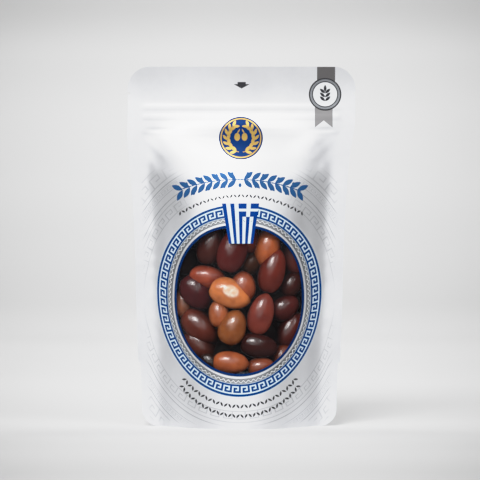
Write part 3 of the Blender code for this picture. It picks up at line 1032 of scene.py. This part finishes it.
class POUCH_OT_olives(bpy.types.Operator):
    """Makes the olives behind the window and the dark core, painted shade, that fills the gaps behind them"""

    bl_idname = "pouch.olives"
    bl_label = "Olives"

    def execute(self, context):
        settings = context.scene.pouch_olives
        random = np.random.default_rng(settings.seed)
        deep = settings.deep_olives
        deep_rows = [*deep_places(deep, random)]
        deep_rows += [random.uniform(low, high, deep) for low, high in DEEP_RANGES]
        columns = np.concatenate([OLIVES[:, :6].T, deep_rows], axis=1)
        right, up, length, width, tilt, sink = columns
        count = len(right)
        lean = random.uniform(-4.0, 4.0, count)
        bend = random.uniform(0.0, 0.03, count)
        lumps = random.uniform(0.0, 6.0, count)
        shapes = olive_shape(length, width, bend, lumps)
        points = place_olives(shapes, right, up, tilt, lean, OLIVE_CLEARANCE + sink)
        each = OLIVE_ALONG * OLIVE_AROUND
        faces = grid_faces(OLIVE_ALONG, OLIVE_AROUND, wrap=True).reshape(-1, 4)
        faces = (faces + (np.arange(count) * each)[:, None, None]).reshape(-1, 4)
        colour, marks = self.paint(points)
        core_points, core_faces = self.core()
        points = np.concatenate([points.reshape(-1, 3), core_points])
        # The core's colour is painted shade: the deep olives' tone, darker still
        core_shade_colour = np.tile([*daylight(DEEP_SHADE_TONE) * CORE_SHADE, 1.0], (len(core_points), 1))
        core_marks = np.tile([0.0, 1.0, 0.0, 0.0], (len(core_points), 1))
        colour = np.concatenate([colour.reshape(-1, 4), core_shade_colour])
        marks = np.concatenate([marks.reshape(-1, 4), core_marks])
        core_faces = [group + count * each for group in core_faces]
        heap, used = put_mesh("olive_heap", points, faces, *core_faces)
        paint_points(heap, "skin", colour[used])
        paint_points(heap, "marks", marks[used])
        join_points(heap.data, face_out=True)
        finish_piece(heap, olive_material(), "olive", "olives")
        return {"FINISHED"}

    def paint(self, points):
        """Each olive's own tone with painted shade that darkens it with depth behind the film, and the marks
        for its scar, dullness and painted highlight.
        """
        # Deeper olives take the dark tone that is painted shade deep in the heap
        tone = daylight(DEEP_SHADE_TONE) * np.ones((len(points), 1))
        tone[: len(OLIVES)] = daylight(OLIVES[:, 6:9])
        behind = behind_film(points)
        ranges = (PAINTED_SHADE_DEPTHS, DULLER, HIGHLIGHT_FADE_DEPTHS)
        painted_shade, duller, highlight_fade = (smooth_step((behind - start) / run) for start, run in ranges)
        colour = np.ones((*behind.shape, 4))
        # Painted shade: the colour darkens with depth behind the film, on each olive's sides and deep in the
        # heap
        colour[..., :3] = tone[:, None, None, :] * (1.0 - PAINTED_SHADE_MOST * painted_shade)[..., None]
        marks = np.zeros_like(colour)
        marks[0, ..., 0] = self.scar(points[0])
        marks[..., 1] = duller
        # Blue: a painted highlight, the real coat laid only on skin that faces the key light's highlight,
        # fading with depth behind the film
        marks[..., 2] = self.wet(points) * (1.0 - highlight_fade)
        return colour, marks

    def wet(self, points):
        """A painted highlight: where the coat is laid, on skin within about thirty degrees of the direction
        halfway between the view and the key light.

        The skin's direction is the cross product of steps along and around.
        """
        along = np.gradient(points, axis=1)
        around = np.roll(points, -1, axis=2) - np.roll(points, 1, axis=2)
        normal = unit(np.cross(along, around))
        outward = np.sign((normal * (points - points.mean(axis=(1, 2), keepdims=True))).sum(axis=-1))
        facing = (normal @ unit(np.array(HIGHLIGHT_SIDE))) * outward
        return smooth_step((facing - 0.89) / 0.08)

    def scar(self, points):
        """A pale oval scar, by the distance from its middle in its own tilted axes."""
        right, up, tilt, half_length, half_width = SCAR
        tilt = math.radians(tilt)
        x = points[..., 0] - right
        z = points[..., 2] - (WINDOW_OVAL[0] + up)
        along = (x * math.cos(tilt) + z * math.sin(tilt)) / half_length
        across = (z * math.cos(tilt) - x * math.sin(tilt)) / half_width
        front = points[..., 1] < points[..., 1].mean()
        return smooth_step((1.25 - np.hypot(along, across)) / 0.4) * front

    def core(self):
        """A dark oval block with a domed front that fills the pocket behind the olives: painted shade for the
        gaps.
        """
        x, z, front = window_dome(CORE_RINGS, CORE_AROUND, -CORE_GAP)
        dome = smooth_film(arc_length(x, z), z)
        dome[..., 1] = np.minimum(dome[..., 1] + CORE_SINK, CORE_BACK - CORE_LEAST_DEPTH)
        middle = smooth_film(np.zeros(1), np.full(1, WINDOW_OVAL[0])) + np.array([0.0, CORE_SINK, 0.0])
        back = dome[0].copy()
        back[:, 1] = CORE_BACK
        points = np.concatenate([dome.reshape(-1, 3), middle, back, [[0.0, CORE_BACK, WINDOW_OVAL[0]]]])
        ring = np.arange(CORE_AROUND)
        beside = (ring + 1) % CORE_AROUND
        rim = CORE_RINGS * CORE_AROUND + 1
        side = np.stack([ring, beside, rim + beside, rim + ring], axis=-1)
        fan = np.stack([rim + ring, rim + beside, np.full(CORE_AROUND, rim + CORE_AROUND)], axis=-1)
        return points, (*front, side, fan)


def print_sheet(name, points, faces, material):
    """A printed shape: a thin closed layer that lies on the film."""
    sheet, _ = put_mesh(name, points, faces)
    join_points(sheet.data)
    give_wall(sheet, INK_THICKNESS)
    finish_piece(sheet, material, "film")


def print_on_ring(name, share, turn, lift, material, inked=...):
    """Prints cells of a grid of shares and turns that runs round the window, all of them or those inked."""
    x, z = between_ovals(share, turn)
    faces = grid_faces(*share.shape, wrap=True)[..., ::-1]
    print_sheet(name, on_front(x, z, lift), faces[inked], material)


def print_band(name, first, last, rows, lift, material):
    """Prints a plain band of the ring between two shares."""
    turn = even_turns(BAND_COLUMNS, 0.5)
    share, turn = np.meshgrid(np.linspace(first, last, rows), turn, indexing="ij")
    print_on_ring(name, share, turn, lift, material)


class POUCH_OT_ring(bpy.types.Operator):
    """Prints the ring round the window: a navy edge, a silver band with a white wave, and a blue Greek key"""

    bl_idname = "pouch.ring"
    bl_label = "Greek key ring"

    ground_margin = 0.02
    key_middle = 0.72
    fine_steps = 1440

    # The waves, as name, place from the band's middle, half width and ink, and what both share
    wave_ribbons = (("print_wave", 0.016, 0.021, white_ink), ("print_wave_line", -0.036, 0.013, grey_ink))
    wave_reach = 0.048
    wave_sharpness = 0.90
    wave_place = 0.27
    wave_steps = 10

    def execute(self, context):
        settings = context.scene.pouch_print
        lift = settings.ink_height
        print_band("print_navy_edge", *NAVY_BAND, 4, lift, navy_ink())
        print_band("print_silver_band", *SILVER_BAND, 5, lift, silver_ink())
        self.wave(settings.waves, lift * 1.9)
        inner, outer = KEY_BAND[0] - self.ground_margin, KEY_BAND[1] + self.ground_margin
        print_band("print_key_ground", inner, outer, 5, lift * 0.5, ink("pale blue ink", settings.pale_blue))
        self.key(settings.key_units, lift, ink("blue ink", settings.blue))
        return {"FINISHED"}

    def key(self, units, lift, material):
        """Prints the Greek key, its units evenly spaced along the band."""
        share = np.interp(running(KEY_ROWS), (0.0, 1.0), KEY_BAND)
        places = (np.arange(units)[:, None] + running(KEY_COLUMNS)[None, :-1]).ravel() / units
        even = np.append(even_turns(self.fine_steps, self.key_middle), 2 * math.pi)
        turn = np.interp(places * self.fine_steps, np.arange(self.fine_steps + 1), even)
        share, turn = np.meshgrid(share, turn, indexing="ij")
        print_on_ring("print_key_ring", share, turn, lift, material, np.tile(KEY_UNIT, (1, units)))

    def wave(self, waves, lift):
        """A white running wave in the silver band and a thin grey one inside it, each a pointed sine."""
        columns = waves * self.wave_steps
        phase = np.arange(columns) / self.wave_steps * 2 * math.pi
        pointed = np.arcsin(self.wave_sharpness * np.sin(phase)) / math.asin(self.wave_sharpness)
        for name, offset, half_width, coloured in self.wave_ribbons:
            middle = (SILVER_BAND[0] + SILVER_BAND[1]) / 2 + offset
            across = np.linspace(-half_width, half_width, 3)
            share = middle + (self.wave_reach * pointed)[None, :] + across[:, None]
            turn = np.broadcast_to(even_turns(columns, self.wave_place), share.shape)
            print_on_ring(name, share, turn, lift, coloured())


class POUCH_OT_flag(bpy.types.Operator):
    """Prints the hanging flag over the top of the ring: nine stripes and a square with a cross"""

    bl_idname = "pouch.flag"
    bl_label = "Flag"

    top = (-0.0098, 0.0112, 0.1267)
    bottom = (-0.0058, 0.0077, 0.1041)
    stripes = 9
    rows = 15

    def execute(self, context):
        settings = context.scene.pouch_print
        lift = settings.ink_height
        down = np.linspace(0.0, 1.0, self.rows + 1)[:, None]
        across = np.linspace(0.0, 1.0, self.stripes + 1)[None, :]
        left = self.top[0] + (self.bottom[0] - self.top[0]) * down
        right = self.top[1] + (self.bottom[1] - self.top[1]) * down
        x = left + (right - left) * across
        z = self.top[2] + (self.bottom[2] - self.top[2]) * down + 0.0 * across
        faces = grid_faces(self.rows + 1, self.stripes + 1)
        blue = np.zeros((self.rows, self.stripes), dtype=bool)
        blue[:, ::2] = True
        blue[:5, 4:] = True
        blue[2, 4:] = False
        blue[:5, 6] = False
        white = ink("flag white ink", (0.70, 0.83, 0.93, 1.0), metallic=0.2)
        bright = ink("flag blue ink", (0.000, 0.042, 0.245, 1.0))
        print_sheet("print_flag_white", on_front(x, z, lift * 2.0), faces[..., ::-1], white)
        print_sheet("print_flag_blue", on_front(x, z, lift * 3.0), faces[..., ::-1][blue], bright)
        return {"FINISHED"}


def leaf_shape(along=9, across=3):
    """A leaf from (0, 0) to (1, 0) whose half width is a sine: its grid of places and its faces."""
    way, side = np.meshgrid(np.linspace(0.0, 1.0, along), np.linspace(-0.5, 0.5, across), indexing="ij")
    places = np.stack([way, side * np.sin(way * math.pi) ** 0.85], axis=-1)
    return places.reshape(-1, 2), grid_faces(along, across).reshape(-1, 4)


def disc_shape(inner=0.0, around=28, rings=3):
    """A disc or ring of radius 1 about (0, 0) as a polar grid."""
    turn = np.linspace(0.0, 2 * math.pi, around, endpoint=False)
    reach, turn = np.meshgrid(np.linspace(max(inner, 1e-6), 1.0, rings), turn, indexing="ij")
    places = np.stack([reach * np.cos(turn), reach * np.sin(turn)], axis=-1)
    return places.reshape(-1, 2), grid_faces(rings, around, wrap=True).reshape(-1, 4)


def scatter_shape(shape, x, z, angle, length, width):
    """Copies of a flat shape, each scaled, turned and moved, as arrays of places and faces."""
    places, faces = shape
    values = [np.atleast_1d(np.asarray(value, dtype=float)) for value in (x, z, angle, length, width)]
    x, z, angle, length, width = (value[:, None] for value in np.broadcast_arrays(*values))
    first = places[None, :, 0] * length
    second = places[None, :, 1] * width
    across = x + first * np.cos(angle) - second * np.sin(angle)
    up = z + first * np.sin(angle) + second * np.cos(angle)
    moved = faces[None] + (np.arange(len(x)) * len(places))[:, None, None]
    return across.ravel(), up.ravel(), moved.reshape(-1, faces.shape[-1])


def disc_at(x, z, radius, inner=0.0, around=48, rings=22):
    """A disc, or a ring with this share of it open, at a place."""
    return scatter_shape(disc_shape(inner, around, rings), x, z, 0.0, radius, radius)


def front_facing(points, faces):
    """Turns round each face whose normal points back, by the sign of its cross product."""
    first = points[faces[:, 1]] - points[faces[:, 0]]
    second = points[faces[:, -1]] - points[faces[:, 0]]
    backward = np.cross(first, second)[:, 1] > 0.0
    return np.where(backward[:, None], faces[:, ::-1], faces)


def join_shapes(parts):
    """Several sets of flat shapes as one, as places across, places up and faces."""
    starts = np.cumsum([0] + [len(part[0]) for part in parts[:-1]])
    across = np.concatenate([part[0] for part in parts])
    up = np.concatenate([part[1] for part in parts])
    faces = np.concatenate([part[2] + start for part, start in zip(parts, starts)])
    return across, up, faces


def print_shapes(name, parts, lift, material):
    """One printed piece from several sets of flat shapes."""
    across, up, faces = join_shapes(parts)
    points = on_front(across, up, lift)
    print_sheet(name, points, front_facing(points, faces), material)


def arc_places(middle_x, middle_z, sagitta, half_chord, count):
    """Evenly spaced places and directions on an arc that is highest in its middle.

    It is lowest in its middle if the sagitta is below 0.
    """
    radius = (half_chord**2 + sagitta**2) / (2 * abs(sagitta))
    reach = math.asin(half_chord / radius)
    angle = np.linspace(-reach, reach, count)
    sign = math.copysign(1.0, sagitta)
    x = middle_x + radius * np.sin(angle)
    z = middle_z - sign * radius * (1.0 - np.cos(angle))
    return x, z, -sign * angle


class POUCH_OT_ornaments(bpy.types.Operator):
    """Prints the small ornaments: a garland, rows of leaflets, a sprig in a disc, and an arrow"""

    bl_idname = "pouch.ornaments"
    bl_label = "Ornaments"

    # The garland's arch, as middle across, middle up and how far it rises, and how far its parts reach
    arch = (0.0004, 0.1402, 0.0058)
    leaf_span, fruit_span, stem_span = 0.0325, 0.0303, 0.0335
    pairs = 16
    leaf_lean = 0.75
    fruit_lift = 0.0032

    # Rows of leaflets, as middle across, middle up, rise, half span, count and length
    rows = (
        (0.0010, 0.1310, 0.0099, 0.0345, 34, 0.0025),
        (0.0004, 0.0129, -0.0144, 0.0315, 32, 0.0028),
        (0.0004, 0.0075, -0.0157, 0.0330, 34, 0.0028),
    )

    # The disc, as middle across, middle up and radius, and the half width and height of its branch's curve
    disc = (0.0009, 0.1640, 0.0125)
    branch_reach = (0.0078, 0.0082)

    # Corners of the arrow and its two faces
    arrow_corners = (
        (-0.0010, 0.1963),
        (0.0037, 0.1963),
        (0.0037, 0.1951),
        (0.0059, 0.1951),
        (0.0013, 0.1926),
        (-0.0032, 0.1951),
        (-0.0010, 0.1951),
    )
    arrow_faces = ((0, 1, 2, 6), (5, 3, 4, 4))

    def execute(self, context):
        settings = context.scene.pouch_print
        lift = settings.ink_height
        self.garland(lift, ink("garland blue ink", (0.024, 0.100, 0.265, 1.0)))
        self.leaflets(lift, charcoal_ink())
        self.sprig_disc(lift, ink("gold ink", settings.gold, 0.34, 0.55))
        x, z = np.transpose(self.arrow_corners)
        print_shapes("print_arrow", [(x, z, np.array(self.arrow_faces))], lift, charcoal_ink())
        return {"FINISHED"}

    def garland(self, lift, material):
        """Pairs of leaves that point outwards along an arched stem, with fruits between them."""
        x, z, angle = arc_places(*self.arch, self.leaf_span, self.pairs)
        slope = angle + np.where(x > self.arch[0], 0.0, math.pi)
        parts = []
        for side in (-1.0, 1.0):
            lean = slope + side * self.leaf_lean
            parts.append(scatter_shape(leaf_shape(13, 5), x, z, lean, 0.0068, 0.0028))
        x, z, _ = arc_places(*self.arch, self.fruit_span, self.pairs - 1)
        z = z + np.where(np.arange(self.pairs - 1) % 2 == 0, self.fruit_lift, -self.fruit_lift)
        parts.append(scatter_shape(disc_shape(), x, z, 0.0, 0.0009, 0.0012))
        x, z, angle = arc_places(*self.arch, self.stem_span, 40)
        parts.append(scatter_shape(leaf_shape(5, 3), x - 0.001 * np.cos(angle), z, angle, 0.0024, 0.0007))
        print_shapes("print_garland", parts, lift, material)

    def leaflets(self, lift, material):
        """Rows of small leaflets along arcs, one above the window and two below it."""
        parts = []
        for *arc, count, length in self.rows:
            x, z, angle = arc_places(*arc, count)
            lean = angle + np.where(np.arange(count) % 2 == 0, 0.9, -0.9)
            x = x - length / 2 * np.cos(lean)
            z = z - length / 2 * np.sin(lean)
            parts.append(scatter_shape(leaf_shape(7, 3), x, z, lean, length, length * 0.38))
        print_shapes("print_leaflets", parts, lift, material)

    def branch(self, side, first, last, count):
        """Places and directions along one side of the branch that curves up round the fruits."""
        turn = np.linspace(first, last, count)
        x = self.disc[0] + side * self.branch_reach[0] * np.cos(turn)
        z = self.disc[1] + self.branch_reach[1] * np.sin(turn)
        return x, z, np.arctan2(np.cos(turn), -side * np.sin(turn))

    def sprig_disc(self, lift, gold):
        """A navy disc with a thin gold rim and, inside it, a gold olive branch round two fruits."""
        x, z, radius = self.disc
        print_shapes("print_disc", [disc_at(x, z, radius, 0.0, 64, 30)], lift, navy_ink())
        parts = [disc_at(x, z, radius * 0.93, 0.94, 64, 3)]
        for side in (-1.0, 1.0):
            leaf_x, leaf_z, heading = self.branch(side, -1.25, 0.95, 7)
            for lean in (-0.55, 0.55):
                parts.append(scatter_shape(leaf_shape(), leaf_x, leaf_z, heading + lean, 0.0040, 0.0016))
            parts.append(scatter_shape(leaf_shape(3, 3), *self.branch(side, -1.45, 1.0, 24), 0.0012, 0.0006))
        fruit_x = x + np.array([-0.0021, 0.0021])
        parts.append(scatter_shape(disc_shape(), fruit_x, z + 0.0006, 0.0, 0.0016, 0.0023))
        parts.append(scatter_shape(leaf_shape(), fruit_x, z + 0.0026, np.array([1.05, 2.09]), 0.0032, 0.0007))
        print_shapes("print_sprig", parts, lift * 2.0, gold)


class POUCH_OT_award(bpy.types.Operator):
    """Prints the ribbon medal at the header's corner: a ribbon over the top, a ringed disc and cut tails"""

    bl_idname = "pouch.award"
    bl_label = "Ribbon medal"

    # The medal, as middle across, middle up and radius
    medal = (0.0490, 0.1893, 0.0093)

    # Ribbon and tails, as left, right, low, high and how deep the V is cut
    ribbon = (0.0444, 0.0547, 0.1960, 0.2049, 0.0)
    tails = (0.0431, 0.0533, 0.1703, 0.1830, 0.0041)
    strip_grid = (15, 37)

    # Heights of the sprig's pairs of leaves and of its end leaf above the medal's middle, and how they lean
    pairs = (-0.0038, -0.0016, 0.0006)
    end_leaf = 0.0014
    leaf_lean = 0.85

    def execute(self, context):
        lift = context.scene.pouch_print.ink_height
        x, z, radius = self.medal
        grey = ink("ribbon ink", (0.125, 0.120, 0.122, 1.0), 0.38, 0.2)
        pale = ink("tail ink", (0.30, 0.295, 0.30, 1.0), 0.38, 0.2)
        print_shapes("print_ribbon", [self.strip(*self.ribbon)], lift, grey)
        print_shapes("print_tails", [self.strip(*self.tails)], lift, pale)
        print_shapes("print_medal", [disc_at(x, z, radius)], lift * 2.0, charcoal_ink())
        print_shapes("print_medal_band", [disc_at(x, z, radius * 0.92)], lift * 3.0, silver_ink())
        print_shapes("print_medal_face", [disc_at(x, z, radius * 0.74)], lift * 4.0, white_ink())
        ring = disc_at(x, z, radius * 0.80, 0.93, 48, 2)
        print_shapes("print_medal_sprig", [ring, self.sprig(x, z)], lift * 5.0, charcoal_ink())
        return {"FINISHED"}

    def sprig(self, x, z):
        """Three pairs of leaves and an end leaf on an upright stem."""
        rise = np.append(np.repeat(self.pairs, 2), self.end_leaf)
        lean = np.append(np.tile([-self.leaf_lean, self.leaf_lean], len(self.pairs)), 0.0)
        return scatter_shape(leaf_shape(), x, z + rise, math.pi / 2 + lean, 0.0040, 0.0016)

    def strip(self, left, right, low, high, cut):
        """An upright ribbon whose lower end is cut in a V."""
        share, up = np.meshgrid(*[np.linspace(0.0, 1.0, steps) for steps in self.strip_grid], indexing="ij")
        base = low + cut * (1.0 - np.abs(2.0 * share - 1.0))
        x = left + (right - left) * share
        z = base + (high - base) * up
        return x.ravel(), z.ravel(), grid_faces(*self.strip_grid).reshape(-1, 4)


class POUCH_OT_ghost_bands(bpy.types.Operator):
    """Prints the pale key bands and lines that circle the window out to the seals"""

    bl_idname = "pouch.ghost_bands"
    bl_label = "Pale key bands"

    centre = 0.0720
    stretch = 1.02
    stroke, space = 0.42, 1.35
    faintest = 0.04
    line_columns = 720

    # Key bands, as inner and outer radius, units and strength, and lines, as radius, width and strength
    bands = ((0.0605, 0.0670, 54, 0.55), (0.0738, 0.0762, 104, 0.55), (0.0795, 0.0885, 50, 0.5))
    lines = ((0.0691, 0.00045, 0.9), (0.0728, 0.0003, 0.7), (0.0773, 0.00045, 0.9))
    inked_rows = (True, False, True, False, True, False, True)
    inked_columns = (False, True, False, False, True)

    def execute(self, context):
        settings = context.scene.pouch_print
        film_tone = np.array(context.scene.pouch_film.colour[:3])
        tone = np.array(settings.ghost[:3])
        grids = (self.inked_rows, self.inked_columns)
        rows, columns = (running(np.where(inked, self.stroke, self.space)) for inked in grids)
        parts, strengths = [], []
        for inner, outer, units, strength in self.bands:
            turn = (np.arange(units)[:, None] + columns[None, :-1]).ravel() * 2 * math.pi / units
            radii = inner + rows * (outer - inner)
            parts.append(self.cells(radii, turn, np.tile(KEY_UNIT, (1, units))))
            strengths.append(strength)
        for radius, width, strength in self.lines:
            turn = np.linspace(0.0, 2 * math.pi, self.line_columns, endpoint=False)
            radii = np.array([radius - width / 2, radius + width / 2])
            parts.append(self.cells(radii, turn, np.ones((1, self.line_columns), dtype=bool)))
            strengths.append(strength)
        u, z, faces = join_shapes(parts)
        share = self.fading(u, z) * np.repeat(strengths, [len(part[0]) for part in parts])
        faces = faces[(share[faces] > self.faintest).all(axis=1)]
        points = film(u, z, settings.ink_height * 0.5)
        sheet, used = put_mesh("print_ghost_bands", points, front_facing(points, faces))
        colour = np.ones((len(used), 4))
        colour[:, :3] = film_tone + (tone - film_tone) * share[used, None]
        paint_points(sheet, "ink", colour)
        give_wall(sheet, PALE_INK_THICKNESS)
        finish_piece(sheet, white_film("pale ink", "ink"), "film")
        return {"FINISHED"}

    def cells(self, radii, turn, inked):
        """Inked cells of a polar grid about the window's middle."""
        radius, angle = np.meshgrid(radii, turn, indexing="ij")
        faces = grid_faces(len(radii), inked.shape[1], wrap=True)[inked]
        up = self.centre + self.stretch * radius * np.sin(angle)
        return (radius * np.cos(angle)).ravel(), up.ravel(), faces

    def fading(self, u, z):
        """How strong the print is: full on the flanks and fading to the seals, foot, top, middle and ring."""
        side = np.abs(u)
        place = smooth_film(np.clip(u, -BELLY, BELLY), np.clip(z, 0.0, HEIGHT))
        off_ring = smooth_step((oval_share(place[..., 0], z, RING_OVAL) - 1.03) * 30.0)
        sides = smooth_step((BELLY + 0.0035 - side) / 0.004)
        ends = smooth_step((0.150 - z) / 0.012) * smooth_step((z - 0.0012) / 0.004)
        middle = np.where(z > 0.09, smooth_step((side - 0.024) / 0.016), 1.0)
        return off_ring * sides * ends * middle


class POUCH_OT_stage(bpy.types.Operator):
    """Sets up the floor and backdrop, the soft lights and the camera"""

    bl_idname = "pouch.stage"
    bl_label = "Studio"

    # Soft boxes, as name, place, width, height, brightness and what they face, mostly the pouch's middle
    pouch_middle = (0.0, 0.0, 0.1)
    lamps = (
        ("front box", (0.0, -1.9, 0.75), 2.4, 1.7, 0.76, pouch_middle),
        ("left box", (-1.2, 0.66, 0.42), 1.0, 1.2, 1.5, pouch_middle),
        ("right box", (1.2, 0.66, 0.42), 1.0, 1.2, 1.4, pouch_middle),
        ("left shoulder box", (-0.95, -0.85, 1.00), 0.8, 0.7, 2.8, pouch_middle),
        ("right shoulder box", (0.95, -0.85, 1.00), 0.8, 0.7, 2.9, pouch_middle),
        ("top box", (0.0, -0.25, 1.5), 2.0, 1.4, 0.4, pouch_middle),
        ("key", (-0.28, -1.0, 1.0), 0.55, 0.55, 13.0, pouch_middle),
        ("backdrop wash", (0.0, 0.55, 1.9), 2.4, 0.5, 4.8, (0.0, 1.9, 0.15)),
    )

    # Brightness of the room as it lights the pouch and as the camera sees it
    room_light = 0.17
    room_seen = 0.62

    # Painted light and shade on the paper: greys up the wall to half a metre, and from in front of the pouch
    # to the foot of the wall
    painted_wall_light = (
        (0.0, 1.0),
        (0.07, 0.90),
        (0.21, 0.94),
        (0.37, 0.99),
        (0.54, 1.0),
        (0.71, 0.94),
        (0.88, 0.75),
        (1.0, 0.65),
    )
    painted_floor_light = ((0.0, 0.45), (0.149, 0.57), (0.222, 0.65), (0.338, 0.82), (0.568, 0.91), (0.98, 1.0))

    # The picture's tones, as light in and tone out, straight up to the whites and then rounded off
    tones = (
        (0.0, 0.0),
        (0.10, 0.20),
        (0.20, 0.40),
        (0.30, 0.60),
        (0.38, 0.735),
        (0.46, 0.82),
        (0.60, 0.875),
        (1.0, 0.92),
    )
    brightest = 2.0

    sensor_width = 36.0

    def execute(self, context):
        scene = context.scene
        settings = scene.pouch_stage
        self.backdrop(settings)
        for lamp in self.lamps:
            self.light(*lamp)
        self.room(scene)
        scene.view_settings.view_transform = "Standard"
        self.round_off_whites(scene.view_settings)
        camera = bpy.data.objects.new("camera", bpy.data.cameras.new("camera"))
        camera.data.sensor_width = self.sensor_width
        camera.data.lens = self.sensor_width * settings.camera_distance / settings.frame_width
        camera.location = (settings.camera_offset, -settings.camera_distance, settings.camera_height)
        camera.rotation_euler = (math.pi / 2, 0.0, 0.0)
        scene.collection.objects.link(camera)
        scene.camera = camera
        return {"FINISHED"}

    def room(self, scene):
        """A plain white room, dimmer as a light than it looks."""
        world = bpy.data.worlds.new("studio")
        world.use_nodes = True
        nodes = Nodes(world.node_tree)
        seen = nodes.add("ShaderNodeLightPath").outputs["Is Camera Ray"]
        strength = nodes.between(seen, 0.0, 1.0, self.room_light, self.room_seen)
        sky = world.node_tree.nodes["Background"]
        nodes.fill(sky, {"Color": (1.0, 1.0, 1.0, 1.0), "Strength": strength})
        scene.world = world

    def round_off_whites(self, view):
        """Bends the brightest tones, so that the film's whites keep their shape."""
        view.use_curve_mapping = True
        mapping = view.curve_mapping
        mapping.white_level = (self.brightest,) * 3
        curve = mapping.curves[3]
        for light, tone in self.tones[1:-1]:
            curve.points.new(light, tone)
        curve.points[0].location = self.tones[0]
        curve.points[-1].location = self.tones[-1]
        mapping.update()

    def backdrop(self, settings):
        """A floor that sweeps up into a wall: a flat run, a quarter circle and an upright run."""
        floor_start, floor_end, bend, wall_top, half_width = -3.5, 1.1, 0.8, 3.2, 4.0
        turn = np.linspace(0.0, math.pi / 2, 25)
        floor = np.linspace(floor_start, floor_end, 20)[:-1]
        wall = np.linspace(bend, wall_top, 11)[1:]
        y = np.concatenate([floor, floor_end + bend * np.sin(turn), np.full_like(wall, floor_end + bend)])
        z = np.concatenate([np.zeros_like(floor), bend * (1.0 - np.cos(turn)), wall])
        x = np.linspace(-half_width, half_width, 9)
        points = np.stack(np.broadcast_arrays(x[None, :], y[:, None], z[:, None]), axis=-1)
        sweep, _ = put_mesh("backdrop", points, grid_faces(len(y), len(x)))
        sweep.data.materials.append(self.paper(settings))

    def paper(self, settings):
        """Backdrop paper: faint clouds, and painted light and shade: greys that change up the wall and along
        the floor, and a pool of light that darkens sideways.
        """
        material, nodes, shader = new_material("backdrop paper")
        place = nodes.place()
        axes = nodes.add("ShaderNodeSeparateXYZ", {"Vector": place}).outputs
        shade = nodes.between(nodes.noise(place, 3.0, 2.0), 0.3, 0.7, 0.98, 1.0)
        up = nodes.ramp(nodes.between(axes["Z"], 0.0, 0.5, 0.0, 1.0), self.painted_wall_light)
        along = nodes.ramp(nodes.between(axes["Y"], -0.5, 1.1, 0.0, 1.0), self.painted_floor_light)
        # Painted pool of light: the paper darkens sideways, and the pool widens further back
        reach = nodes.between(axes["Y"], -0.26, 1.6, 0.086, 0.287)
        side_falloff = nodes.maths("POWER", nodes.maths("DIVIDE", axes["X"], reach), 2.0)
        colour = tuple(settings.floor_colour)
        for tone in (shade, up, along, nodes.between(side_falloff, 0.0, 3.0, 1.0, 0.55)):
            colour = nodes.tint(colour, tone)
        nodes.fill(shader, {"Base Color": colour, "Roughness": 0.85, "Specular IOR Level": 0.2})
        return material

    def light(self, name, place, width, height, brightness, target):
        """A soft box that faces its target. Its power is its brightness times pi times its area."""
        data = bpy.data.lights.new(name, "AREA")
        data.shape = "RECTANGLE"
        data.size = width
        data.size_y = height
        data.energy = brightness * math.pi * width * height
        lamp = bpy.data.objects.new(name, data)
        bpy.context.scene.collection.objects.link(lamp)
        away = np.array(place) - np.array(target)
        flat = math.hypot(away[0], away[1])
        lamp.location = place
        lamp.rotation_euler = (math.atan2(flat, away[2]), 0.0, math.atan2(away[0], -away[1]))


class POUCH_PT_panel(bpy.types.Panel):
    """Lists the pouch's pieces and settings"""

    bl_idname = "POUCH_PT_panel"
    bl_label = "Stand-up pouch"
    bl_space_type = "VIEW_3D"
    bl_region_type = "UI"
    bl_category = "Pouch"

    def draw(self, context):
        column = self.layout.column()
        for kind in OPERATORS:
            column.operator(kind.bl_idname)
        for setting, _ in SETTINGS:
            group = getattr(context.scene, setting)
            for name in group.__annotations__:
                column.prop(group, name)


OPERATORS = (
    POUCH_OT_film,
    POUCH_OT_gusset,
    POUCH_OT_window,
    POUCH_OT_olives,
    POUCH_OT_ring,
    POUCH_OT_ghost_bands,
    POUCH_OT_flag,
    POUCH_OT_ornaments,
    POUCH_OT_award,
    POUCH_OT_stage,
)
SETTINGS = (
    ("pouch_film", FilmSettings),
    ("pouch_print", PrintSettings),
    ("pouch_olives", OliveSettings),
    ("pouch_stage", StageSettings),
)


def register():
    """Adds the settings, operators and panel."""
    for name, group in SETTINGS:
        bpy.utils.register_class(group)
        setattr(bpy.types.Scene, name, PointerProperty(type=group))
    for kind in (*OPERATORS, POUCH_PT_panel):
        bpy.utils.register_class(kind)


def unregister():
    """Takes them away again."""
    for kind in reversed((*OPERATORS, POUCH_PT_panel)):
        bpy.utils.unregister_class(kind)
    for name, group in reversed(SETTINGS):
        delattr(bpy.types.Scene, name)
        bpy.utils.unregister_class(group)


def main():
    """Makes every piece."""
    register()
    bpy.ops.pouch.film()
    bpy.ops.pouch.gusset()
    bpy.ops.pouch.window()
    bpy.ops.pouch.olives()
    bpy.ops.pouch.ring()
    bpy.ops.pouch.ghost_bands()
    bpy.ops.pouch.flag()
    bpy.ops.pouch.ornaments()
    bpy.ops.pouch.award()
    bpy.ops.pouch.stage()


if __name__ == "__main__":
    main()
